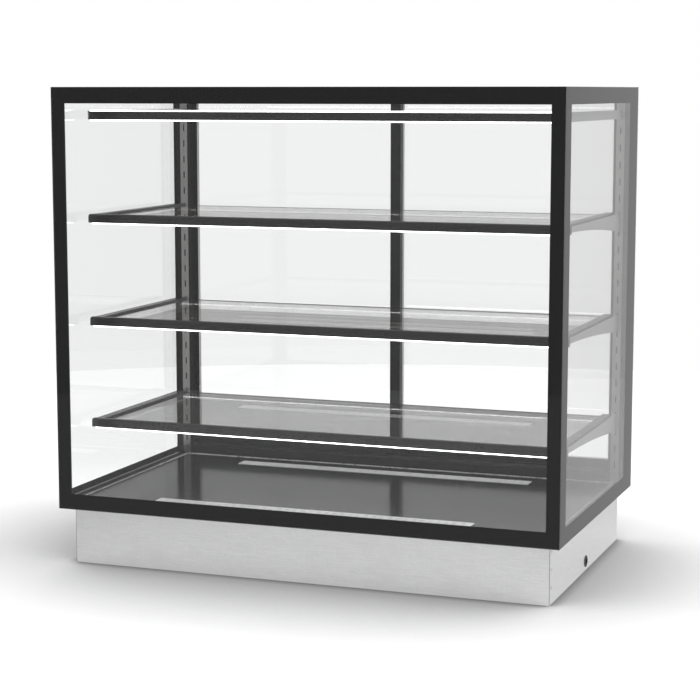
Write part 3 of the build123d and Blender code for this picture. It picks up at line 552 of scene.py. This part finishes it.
finishes = {
    "clear_glass": clearGlass("clearPane", paneLook),
    "door_glass": clearGlass("doorPane", doorPaneLook),
    "shelf_glass": clearGlass("shelfPane", shelfPaneLook),
    "black_frame": coatedMetal("blackFrameCoat", blackCoat),
    "black_door": coatedMetal("blackDoorCoat", doorCoat),
    "dark_track": grainedMetal("darkTrack", trackLook),
    "zinc_upright": grainedMetal("zincUpright", zincLook),
    "shelf_frame": coatedMetal("shelfFrameCoat", shelfCoat),
    "shelf_arm": coatedMetal("shelfArmCoat", armCoat),
    "diffuser": litDiffuser("opalDiffuser", diffuserLook),
    "light_board": mouldedPlastic("lightBoard", boardLook),
    "heating_film": heatingFilm("heatingFilm", filmLook),
    "deck_enamel": glossEnamel("deckEnamel", enamelLook),
    "stainless": grainedMetal("brushedStainless", stainlessLook),
    "grille_steel": grainedMetal("grilleSteel", grilleLook),
    "rivet_steel": grainedMetal("rivetSteel", rivetLook),
    "rubber": mouldedPlastic("grommetRubber", rubberLook),
    "nylon": mouldedPlastic("glideNylon", nylonLook),
    "galvanised": galvanisedSheet("galvanisedSheet", galvanisedLook),
    "fan_plastic": mouldedPlastic("fanPlastic", fanPlasticLook),
    "fan_metal": grainedMetal("fanMetal", fanMetalLook),
    "element_sheath": elementSheath("elementSheath", sheathLook),
    "driver_case": mouldedPlastic("driverCase", driverLook),
    "controller_plastic": mouldedPlastic("controllerPlastic", blackPlastic),
    "controller_window": displayWindow("displayWindow", windowLook),
    "button_plastic": mouldedPlastic("buttonPlastic", buttonLook),
    "switch_plastic": mouldedPlastic("switchPlastic", switchLook),
    "light_rocker": mouldedPlastic("greenRocker", lightRockerLook),
    "heat_rocker": mouldedPlastic("redRocker", heatRockerLook),
}
ink = printedInk("printedInk", inkLook)
print("finishes built,", len(finishes) + 1)


def dressNodes():
    for row in frame["record"]["subparts"]:
        mesh = nodes[row["node"]].data
        mesh.materials.clear()
        mesh.materials.append(finishes[row["material_slot"]])
        nodes[row["node"]]["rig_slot"] = row["material_slot"]


# Broken edges on the carried-over metal, glass and plastic, in metres.
edgeRadii = {
    "clear_glass": 0.0007, "door_glass": 0.0004, "shelf_glass": 0.0007,
    "black_frame": 0.0006, "black_door": 0.0006, "dark_track": 0.0003, "zinc_upright": 0.0004,
    "shelf_frame": 0.0006, "shelf_arm": 0.0003, "diffuser": 0.0008, "deck_enamel": 0.0004,
    "stainless": 0.0003, "grille_steel": 0.0002, "nylon": 0.0003, "galvanised": 0.0002,
    "fan_plastic": 0.0005, "fan_metal": 0.0004, "driver_case": 0.0008, "controller_plastic": 0.0006,
    "controller_window": 0.0002, "button_plastic": 0.0007, "switch_plastic": 0.0006,
    "light_rocker": 0.0007, "heat_rocker": 0.0007, "rubber": 0.0005,
}


# Lengths in metres, angles in degrees.
edgeForm = {"weldUnder": 0.000005, "plainUnder": 0.5, "softFrom": 40, "areaWeight": 60}


def joinFacets(piece, look):
    join = piece.modifiers.new("joinFaces", "WELD")
    join.merge_threshold = look["weldUnder"]
    flatten = piece.modifiers.new("plainFaces", "DECIMATE")
    flatten.decimate_type = "DISSOLVE"
    flatten.angle_limit = math.radians(look["plainUnder"])


def softenEdges(piece, radius, look):
    bevel = piece.modifiers.new("softEdges", "BEVEL")
    bevel.width = radius
    bevel.segments = 2
    bevel.limit_method = "ANGLE"
    bevel.angle_limit = math.radians(look["softFrom"])
    bevel.use_clamp_overlap = True
    shading = piece.modifiers.new("evenShading", "WEIGHTED_NORMAL")
    shading.weight = look["areaWeight"]
    shading.keep_sharp = False


dressNodes()
for subpart in frame["record"]["subparts"]:
    if subpart["material_slot"] in edgeRadii:
        joinFacets(nodes[subpart["node"]], edgeForm)
        softenEdges(nodes[subpart["node"]], edgeRadii[subpart["material_slot"]], edgeForm)
print("CAD nodes dressed")


# Mesh helpers
def meshPiece(name, mesh, finish, slotName, body="case"):
    piece = bpy.data.objects.new(name, mesh)
    bpy.context.scene.collection.objects.link(piece)
    mesh.materials.append(finish)
    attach(piece, body)
    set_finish(piece, slotName)
    return piece


def newMesh(name, mesh):
    bmesh.ops.recalc_face_normals(mesh, faces=mesh.faces)
    data = bpy.data.meshes.new(name)
    mesh.to_mesh(data)
    mesh.free()
    return data


def joinRings(mesh, rings, closed=True):
    count = len(rings[0])
    pairs = list(zip(rings, rings[1:])) + ([(rings[-1], rings[0])] if closed else [])
    for first, second in pairs:
        for corner in range(count):
            following = (corner + 1) % count
            mesh.faces.new((first[corner], first[following], second[following], second[corner]))


def ringPoints(radius, count):
    turns = [2 * math.pi * step / count for step in range(count)]
    return [(radius * math.cos(turn), radius * math.sin(turn)) for turn in turns]


def turnedForm(mesh, profile, centre, outward, segments, closed):
    # Turns (radius, along) points about an X axis through the centre.
    rings = []
    for radius, along in profile:
        x = centre[0] + outward * along
        places = [(x, centre[1] + y, centre[2] + z) for y, z in ringPoints(radius, segments)]
        rings.append([mesh.verts.new(place) for place in places])
    joinRings(mesh, rings, closed)
    return rings


def frameMesh(name, outer, inner, thickness, place):
    # A flat ring between two rectangles, each (left, right, bottom, top).
    # The place function turns (across, up, depth) into a point.
    mesh = bmesh.new()
    rings = []
    for depth in (0.0, thickness):
        for left, right, bottom, top in (outer, inner):
            corners = [(left, bottom), (right, bottom), (right, top), (left, top)]
            rings.append([mesh.verts.new(place(across, up, depth)) for across, up in corners])
    outerNear, innerNear, outerFar, innerFar = rings
    joinRings(mesh, [outerNear, innerNear, innerFar, outerFar])
    return newMesh(name, mesh)


# The printed black borders lie in the inner face of each outer pane.
# Their widths go left, right, bottom, top on a pane that is seen with its first axis to the right.
printedBorders = {
    "edgeMargin": 0.0006,
    "inkThickness": 0.0004,
    "inkProud": 0.00003,
    "front": {"left": 0.031, "right": 0.031, "bottom": 0.036, "top": 0.037},
    "side": {"front": 0.050, "rear": 0.086, "bottom": 0.038, "top": 0.037},
    "top": {"left": 0.036, "right": 0.036, "front": 0.037, "rear": 0.076},
}


def layBorder(name, pane, widths, look, place):
    left, right, bottom, top = pane
    fromLeft, fromRight, fromBottom, fromTop = widths.values()
    margin = look["edgeMargin"]
    outer = (left + margin, right - margin, bottom + margin, top - margin)
    inner = (left + fromLeft, right - fromRight, bottom + fromBottom, top - fromTop)
    mesh = frameMesh(name, outer, inner, look["inkThickness"], place)
    meshPiece(name, mesh, ink, "black_frame")


def makeFrontBorder(look):
    low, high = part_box("front_glass")
    inside = high.y + look["inkProud"]

    def place(x, z, depth):
        return (x, inside - depth, z)

    layBorder("front_border", (low.x, high.x, low.z, high.z), look["front"], look, place)


def makeSideBorder(node, name, look):
    low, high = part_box(node)
    outward = 1 if low.x > 0 else -1
    inside = (low.x if outward > 0 else high.x) - outward * look["inkProud"]

    def place(y, z, depth):
        return (inside + outward * depth, y, z)

    layBorder(name, (low.y, high.y, low.z, high.z), look["side"], look, place)


def makeTopBorder(look):
    low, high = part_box("top_glass")
    inside = low.z - look["inkProud"]

    def place(x, y, depth):
        return (x, y, inside + depth)

    layBorder("top_border", (low.x, high.x, low.y, high.y), look["top"], look, place)


makeFrontBorder(printedBorders)
makeSideBorder("left_glass", "left_border", printedBorders)
makeSideBorder("right_glass", "right_border", printedBorders)
makeTopBorder(printedBorders)
print("printed borders laid")


# More finishes for the small pieces
def litSegments(name, look):
    fixed = {"Roughness": look["rough"], "Emission Strength": look["power"]}
    material, tree, shader = newFinish(name, fixed)
    skin = useGroup(tree, skinTexture, {"Scale": look["skinScale"]})
    glow = mixColour(tree, skin["Height"], look["core"], look["edge"])
    feed(tree, glow, shader, "Emission Color")
    feed(tree, mixColour(tree, skin["Height"], look["body"], look["edge"]), shader, "Base Color")
    return material


segmentLook = {
    "power": 2.2, "core": (1.0, 0.10, 0.02, 1), "edge": (0.9, 0.05, 0.01, 1), "body": (0.4, 0.02, 0.01, 1),
    "rough": 0.4, "skinScale": 4000.0,
}
restingLook = dict(segmentLook, power=0.03)
# Light grey of the door gaskets: a painted highlight of the door frames' lit inner faces.
gasketHighlightLook = dict(
    blackPlastic, colour=(0.62, 0.62, 0.61, 1), drift=(0.68, 0.68, 0.67, 1), worn=(0.7, 0.7, 0.69, 1),
    rough=0.5,
)
sealLook = dict(gasketHighlightLook, colour=(0.30, 0.30, 0.295, 1), drift=(0.35, 0.35, 0.345, 1))
markLook = dict(
    blackPlastic, colour=(0.80, 0.80, 0.78, 1), drift=(0.74, 0.74, 0.72, 1), worn=(0.5, 0.5, 0.5, 1),
)
litRed = litSegments("litSegments", segmentLook)
restingRed = litSegments("restingSegments", restingLook)
gasketHighlightGrey = mouldedPlastic("gasketHighlightGrey", gasketHighlightLook)
sealGrey = mouldedPlastic("sealGrey", sealLook)
markPaint = mouldedPlastic("markPaint", markLook)


# Wedge gaskets hold each door's pane on both sides. Their light grey is a painted highlight, standing in
# for the lit inner faces of the door frames.
doorGasket = {
    "grip": 0.008, "edgeSet": 0.0006, "thin": 0.0006, "thick": 0.0022, "clear": 0.00005, "softEdge": 0.0003,
}


def makeDoorGasket(door, look):
    frameLow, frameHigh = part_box(door + "_frame")
    paneLow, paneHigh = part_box(door + "_glass")
    left, right = paneLow.x + look["grip"], paneHigh.x - look["grip"]
    bottom, top = paneLow.z + look["grip"], paneHigh.z - look["grip"]
    sides = (
        (frameLow.y + look["edgeSet"], paneLow.y - look["clear"]),
        (frameHigh.y - look["edgeSet"], paneHigh.y + look["clear"]),
    )
    mesh = bmesh.new()
    for edge, pane in sides:
        rings = []
        for inset, y in ((0.0, edge), (0.0, pane), (look["thick"], pane), (look["thin"], edge)):
            spots = ((left + inset, bottom + inset), (right - inset, bottom + inset))
            spots += ((right - inset, top - inset), (left + inset, top - inset))
            rings.append([mesh.verts.new((x, y, z)) for x, z in spots])
        joinRings(mesh, rings)
    piece = meshPiece(door + "_gasket", newMesh(door + "_gasket", mesh), gasketHighlightGrey, "rubber", door)
    softenEdges(piece, look["softEdge"], edgeForm)


# Beads of grey sealant close the joint between the side panes and the bottom members.
paneSeal = {"radius": 0.0026, "steps": 6, "sink": 0.0002}


def makePaneSeals(look):
    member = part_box("side_bottom_members")[1]
    ends = (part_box("front_posts")[1].y, member.y)
    mesh = bmesh.new()
    for pane, inward in ((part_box("left_glass")[1].x, 1), (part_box("right_glass")[0].x, -1)):
        rings = []
        for y in ends:
            ring = [mesh.verts.new((pane - inward * look["sink"], y, member.z - look["sink"]))]
            for step in range(look["steps"] + 1):
                turn = math.pi / 2 * step / look["steps"]
                across = look["radius"] * (1 - math.sin(turn))
                up = look["radius"] * (1 - math.cos(turn))
                ring.append(mesh.verts.new((pane + inward * across, y, member.z + up)))
            rings.append(ring)
        joinRings(mesh, rings, closed=False)
        for ring in rings:
            mesh.faces.new(ring)
    meshPiece("pane_seals", newMesh("pane_seals", mesh), sealGrey, "rubber")


# Domed blind rivets with the mark of the drawn pin at the middle.
# Profile points are (radius, along the axis).
rivetForm = {
    "rows": 3, "segments": 20,
    "profile": (
        (0.0016, -0.0014), (0.0016, 0.0), (0.0030, 0.0), (0.0030, 0.0003), (0.0026, 0.0009),
        (0.0018, 0.0013), (0.0010, 0.0014), (0.0008, 0.0010), (0.0004, 0.0009),
    ),
}


def makeRivets(look):
    low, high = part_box("base_rivets")
    headRadius = max(radius for radius, along in look["profile"])
    headHeight = max(along for radius, along in look["profile"])
    mesh = bmesh.new()
    for outward, face in ((-1, low.x + headHeight), (1, high.x - headHeight)):
        for row in range(look["rows"]):
            share = row / (look["rows"] - 1)
            height = low.z + headRadius + share * (high.z - low.z - 2 * headRadius)
            centre = (face, (low.y + high.y) / 2, height)
            rings = turnedForm(mesh, look["profile"], centre, outward, look["segments"], False)
            mesh.faces.new(rings[-1])
            mesh.faces.new(rings[0])
    piece = meshPiece("rivet_heads", newMesh("rivet_heads", mesh), finishes["rivet_steel"], "rivet_steel")
    piece.data.shade_smooth()
    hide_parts("base_rivets")


# The rubber grommet has a rolled lip outside and a flat one inside.
grommetForm = {
    "segments": 48,
    "profile": (
        (0.0080, -0.0030), (0.0080, 0.0008), (0.0084, 0.0014), (0.0092, 0.0019), (0.0104, 0.0020),
        (0.0118, 0.0018), (0.0130, 0.0013), (0.0138, 0.0006), (0.0140, 0.0), (0.0110, 0.0),
        (0.0110, -0.0015), (0.0139, -0.0015), (0.0137, -0.0026), (0.0128, -0.0034), (0.0086, -0.0035),
    ),
}


def makeGrommet(look):
    low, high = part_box("cable_grommet")
    face = high.x - max(along for radius, along in look["profile"])
    centre = (face, (low.y + high.y) / 2, (low.z + high.z) / 2)
    mesh = bmesh.new()
    turnedForm(mesh, look["profile"], centre, 1, look["segments"], True)
    piece = meshPiece("grommet_ring", newMesh("grommet_ring", mesh), finishes["rubber"], "rubber")
    piece.data.shade_smooth()
    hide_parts("cable_grommet")


def plateAt(mesh, outline, back, front):
    # A flat shape on a face that looks to the rear; outline points are (x, z).
    near = [mesh.verts.new((x, front, z)) for x, z in outline]
    far = [mesh.verts.new((x, back, z)) for x, z in outline]
    mesh.faces.new(near)
    mesh.faces.new(far)
    joinRings(mesh, [near, far], closed=False)


def rearFace(node):
    # The middle of a node's box as x and z, and the y of its rear face.
    low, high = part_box(node)
    return (low.x + high.x) / 2, (low.z + high.z) / 2, high.y


# Seven-segment figures of the thermostat, read from the operator's side.
# Each bar is across and up from the middle, and level or upright.
displayForm = {
    "figures": (" ", "6", "5"), "pitch": 0.0105, "height": 0.0118, "width": 0.0064, "bar": 0.0012,
    "gap": 0.0002, "slant": 0.12, "proud": 0.00008, "sink": 0.0002,
    "bars": {
        "a": (0, 1, True), "b": (1, 0.5, False), "c": (1, -0.5, False), "d": (0, -1, True),
        "e": (-1, -0.5, False), "f": (-1, 0.5, False), "g": (0, 0, True),
    },
    "shown": {" ": "", "5": "acdfg", "6": "acdefg"},
}


def barOutline(look, across, up, level):
    length = (look["width"] if level else look["height"] / 2) - look["bar"] - 2 * look["gap"]
    half, tip = length / 2, look["bar"] / 2
    flat = half - tip
    points = ((-half, 0), (-flat, tip), (flat, tip), (half, 0), (flat, -tip), (-flat, -tip))
    turned = points if level else [(v, u) for u, v in points]
    shiftU = across * (look["width"] - look["bar"]) / 2
    shiftV = up * (look["height"] - look["bar"]) / 2
    return [(u + shiftU, v + shiftV) for u, v in turned]


def makeDisplay(look):
    middleX, middleZ, face = rearFace("controller_window")
    lit, resting = bmesh.new(), bmesh.new()
    for index, figure in enumerate(look["figures"]):
        offset = (index - (len(look["figures"]) - 1) / 2) * look["pitch"]
        for letter, (across, up, level) in look["bars"].items():
            mesh = lit if letter in look["shown"][figure] else resting
            outline = []
            for u, v in barOutline(look, across, up, level):
                outline.append((middleX - (offset + u + v * look["slant"]), middleZ + v))
            plateAt(mesh, outline, face - look["sink"], face + look["proud"])
    meshPiece("display_figures", newMesh("display_figures", lit), litRed, "controller_window")
    meshPiece("display_resting", newMesh("display_resting", resting), restingRed, "controller_window")


# Printed marks: arrows and a dot on the buttons, a bar and a ring on the rockers.
markForm = {
    "proud": 0.00006, "sink": 0.0001, "arrow": 0.0017, "arrowFoot": 0.6, "arrowTip": 0.8,
    "dot": 0.0011, "dotSteps": 20, "barWidth": 0.0009, "barHeight": 0.0042,
    "ringOuter": 0.0024, "ringInner": 0.0016, "ringSteps": 32, "fromMiddle": 0.0056,
}


def makeButtonMarks(look):
    for node, turn in (("up_button", 1), ("down_button", -1), ("set_button", 0)):
        middleX, middleZ, face = rearFace(node)
        size = look["arrow"]
        foot, tip = middleZ - turn * size * look["arrowFoot"], middleZ + turn * size * look["arrowTip"]
        if turn:
            outline = [(middleX - size, foot), (middleX + size, foot), (middleX, tip)]
        else:
            points = ringPoints(look["dot"], look["dotSteps"])
            outline = [(middleX + x, middleZ + z) for x, z in points]
        mesh = bmesh.new()
        plateAt(mesh, outline, face - look["sink"], face + look["proud"])
        meshPiece(node + "_mark", newMesh(node + "_mark", mesh), markPaint, "button_plastic", node)


def surfaceOf(node):
    mesh = nodes[node].data
    return BVHTree.FromPolygons([v.co for v in mesh.vertices], [face.vertices for face in mesh.polygons])


def onRear(surface, x, z, proud):
    # The point of the surface that a ray from behind the case meets first.
    hit = surface.ray_cast(Vector((x, 1.0, z)), Vector((0, -1, 0)))[0]
    return (x, hit.y + proud, z)


def makeRockerMarks(look):
    halfWidth, halfHeight = look["barWidth"] / 2, look["barHeight"] / 2
    bar = [(-halfWidth, -halfHeight), (halfWidth, -halfHeight)]
    bar += [(halfWidth, halfHeight), (-halfWidth, halfHeight)]
    edges = [(look["ringOuter"], look["proud"]), (look["ringInner"], look["proud"])]
    edges += [(look["ringInner"], -look["sink"]), (look["ringOuter"], -look["sink"])]
    for node in ("light_rocker", "heat_rocker"):
        surface = surfaceOf(node)
        middleX, middleZ = rearFace(node)[:2]
        barZ, ringZ = middleZ + look["fromMiddle"], middleZ - look["fromMiddle"]
        mesh = bmesh.new()
        faces = []
        for proud in (look["proud"], -look["sink"]):
            places = [onRear(surface, middleX + x, barZ + z, proud) for x, z in bar]
            faces.append([mesh.verts.new(place) for place in places])
            mesh.faces.new(faces[-1])
        joinRings(mesh, faces, closed=False)
        circles = []
        for radius, proud in edges:
            points = ringPoints(radius, look["ringSteps"])
            places = [onRear(surface, middleX + x, ringZ + z, proud) for x, z in points]
            circles.append([mesh.verts.new(place) for place in places])
        joinRings(mesh, circles)
        meshPiece(node + "_marks", newMesh(node + "_marks", mesh), markPaint, node, node)


# A thin dark rubber rod in each front corner of the base, where its sheets meet, is painted shade of the
# seam.
baseSeamShade = {"radius": 0.0005, "sides": 8, "depth": 0.0003, "fromEnds": 0.001}


def makeBaseSeamShade(look):
    bottom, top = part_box("base_front")[0].z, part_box("front_bottom_member")[0].z
    foot = [v.co for v in nodes["base_front"].data.vertices if v.co.z < bottom + look["fromEnds"]]
    left, right = min(point.x for point in foot), max(point.x for point in foot)
    front = min(point.y for point in foot) + look["depth"]
    mesh = bmesh.new()
    for x in (left + look["depth"], right - look["depth"]):
        rings = []
        for z in (bottom + look["fromEnds"], top - look["fromEnds"]):
            points = ringPoints(look["radius"], look["sides"])
            rings.append([mesh.verts.new((x + across, front + along, z)) for across, along in points])
            mesh.faces.new(rings[-1])
        joinRings(mesh, rings, closed=False)
    # The dark rod paints the shade in the corner seam.
    meshPiece("base_seam_shade", newMesh("base_seam_shade", mesh), finishes["rubber"], "rubber")


makeBaseSeamShade(baseSeamShade)
makeDoorGasket("inner_door", doorGasket)
makeDoorGasket("outer_door", doorGasket)
makePaneSeals(paneSeal)
makeRivets(rivetForm)
makeGrommet(grommetForm)
makeDisplay(displayForm)
makeButtonMarks(markForm)
makeRockerMarks(markForm)
print("gaskets, seals, rivets, grommet and marks built")


# Studio
studio = {
    "worldLight": 0.62,
    "worldShown": 1.0,
    "mirroredFront": 0.40,
    "mirroredBack": 0.57,
    "mirroredFloor": 0.57,
    "floorRadius": 3.2,
    "floorSides": 96,
    "floorColour": (0.84, 0.84, 0.84, 1),
    "floorLift": 0.52,
    "floorDrop": 0.0003,
    "mirrorLift": 0.30,
    "mirrorNear": 0.75,
    "mirrorFar": 1.35,
    "shadeReach": 0.6,
    "shadeDepth": 1.75,
    "contactReach": 0.03,
    "contactFrom": 0.5,
    "contactTone": 0.72,
    "shadeSamples": 16,
    "key": {"power": 80.0, "size": 3.2, "place": (3.4, 1.4, 3.6), "aim": (0.0, 0.0, 0.4)},
    "fill": {"power": 26.0, "size": 3.0, "place": (-2.6, -3.4, 2.6), "aim": (0.0, 0.0, 0.5)},
}


def seenDirectly(tree, rays):
    # One where the eye looks straight or through glass, nought once anything has mirrored the view.
    mirroredOnce = doMath(tree, "MINIMUM", rays["Glossy Depth"], 1.0)
    straight = doMath(tree, "MAXIMUM", rays["Is Camera Ray"], rays["Is Transmission Ray"])
    return doMath(tree, "MULTIPLY", straight, doMath(tree, "SUBTRACT", 1.0, mirroredOnce))


def makeWorld(look):
    world = bpy.data.worlds.new("studioWorld")
    bpy.context.scene.world = world
    world.use_nodes = True
    tree = world.node_tree
    shown = tree.nodes["Background"]
    shown.inputs["Color"].default_value = (1, 1, 1, 1)
    shown.inputs["Strength"].default_value = look["worldShown"]
    rays = addNode(tree, "LightPath").outputs
    seen = seenDirectly(tree, rays)
    place = addNode(tree, "TexCoord").outputs["Generated"]
    backward = addNode(tree, "SeparateXYZ", {0: place}).outputs["Y"]
    mirrored = remap(tree, backward, -1.0, 1.0, look["mirroredFront"], look["mirroredBack"])
    level = remap(tree, rays["Is Glossy Ray"], 0.0, 1.0, look["worldLight"], mirrored)
    lighting = addNode(tree, "Background", {"Color": (1, 1, 1, 1), "Strength": level})
    mixed = addNode(tree, "MixShader", {0: seen, 1: lighting.outputs[0], 2: shown.outputs[0]}).outputs[0]
    feed(tree, mixed, tree.nodes["World Output"], "Surface")


def makeFloor(look):
    # A round pale floor that ends in the white of the backdrop, darker where the case shades it.
    mesh = bmesh.new()
    sides, radius = look["floorSides"], look["floorRadius"]
    bmesh.ops.create_circle(mesh, cap_ends=True, segments=sides, radius=radius)
    bmesh.ops.translate(mesh, verts=mesh.verts, vec=(0, 0, -look["floorDrop"]))
    data = bpy.data.meshes.new("studioFloor")
    mesh.to_mesh(data)
    mesh.free()
    floor = bpy.data.objects.new("studioFloor", data)
    bpy.context.scene.collection.objects.link(floor)
    data.materials.append(floorPaint(look))


def openness(tree, reach, samples):
    return addNode(tree, "AmbientOcclusion", {"Distance": reach}, samples=samples).outputs["AO"]


def floorPaint(look):
    material = bpy.data.materials.new("studioFloor")
    material.use_nodes = True
    tree = material.node_tree
    tree.nodes.remove(tree.nodes["Principled BSDF"])
    rays = addNode(tree, "LightPath").outputs
    mirrored = rays["Is Glossy Ray"]
    openSky = openness(tree, look["shadeReach"], look["shadeSamples"])
    contact = openness(tree, look["contactReach"], look["shadeSamples"])
    contact = remap(tree, contact, look["contactFrom"], 1.0, look["contactTone"], 1.0)
    openSky = doMath(tree, "MULTIPLY", openSky, contact)
    shade = doMath(tree, "MAXIMUM", openSky, mirrored)
    colour = mixColour(tree, shade, (0, 0, 0, 1), look["floorColour"])
    paint = addNode(tree, "BsdfDiffuse", {"Color": colour}).outputs[0]
    # What the eye sees directly is lifted towards white, less where the case stands over it.
    lifted = doMath(tree, "POWER", openSky, look["shadeDepth"])
    lifted = doMath(tree, "MULTIPLY", lifted, look["floorLift"])
    position = addNode(tree, "NewGeometry").outputs["Position"]
    away = addNode(tree, "VectorMath", {0: position}, operation="LENGTH").outputs["Value"]
    near = remap(tree, away, look["mirrorNear"], look["mirrorFar"], look["mirrorLift"], 0.0)
    strength = doMath(tree, "MULTIPLY", seenDirectly(tree, rays), lifted)
    strength = addShare(tree, strength, mirrored, near)
    lift = addNode(tree, "Emission", {"Strength": strength}).outputs[0]
    both = addNode(tree, "AddShader", {0: paint, 1: lift}).outputs[0]
    # A sharp mirror image shows the floor at one even level.
    sharp = doMath(tree, "MULTIPLY", rays["Is Singular Ray"], rays["Is Reflection Ray"])
    level = addNode(tree, "Emission", {"Strength": look["mirroredFloor"]}).outputs[0]
    seenOrSharp = addNode(tree, "MixShader", {0: sharp, 1: both, 2: level}).outputs[0]
    feed(tree, seenOrSharp, tree.nodes["Material Output"], "Surface")
    return material


def makeLamp(name, look):
    data = bpy.data.lights.new(name, "AREA")
    data.energy = look["power"]
    data.size = look["size"]
    lamp = bpy.data.objects.new(name, data)
    lamp.location = look["place"]
    lamp.rotation_mode = "QUATERNION"
    lamp.rotation_quaternion = (Vector(look["aim"]) - Vector(look["place"])).to_track_quat("-Z", "Y")
    lamp.visible_glossy = False
    lamp.visible_camera = False
    lamp.visible_transmission = False
    bpy.context.scene.collection.objects.link(lamp)


makeWorld(studio)
makeFloor(studio)
makeLamp("keyLight", studio["key"])
makeLamp("fillLight", studio["fill"])
print("studio lit")
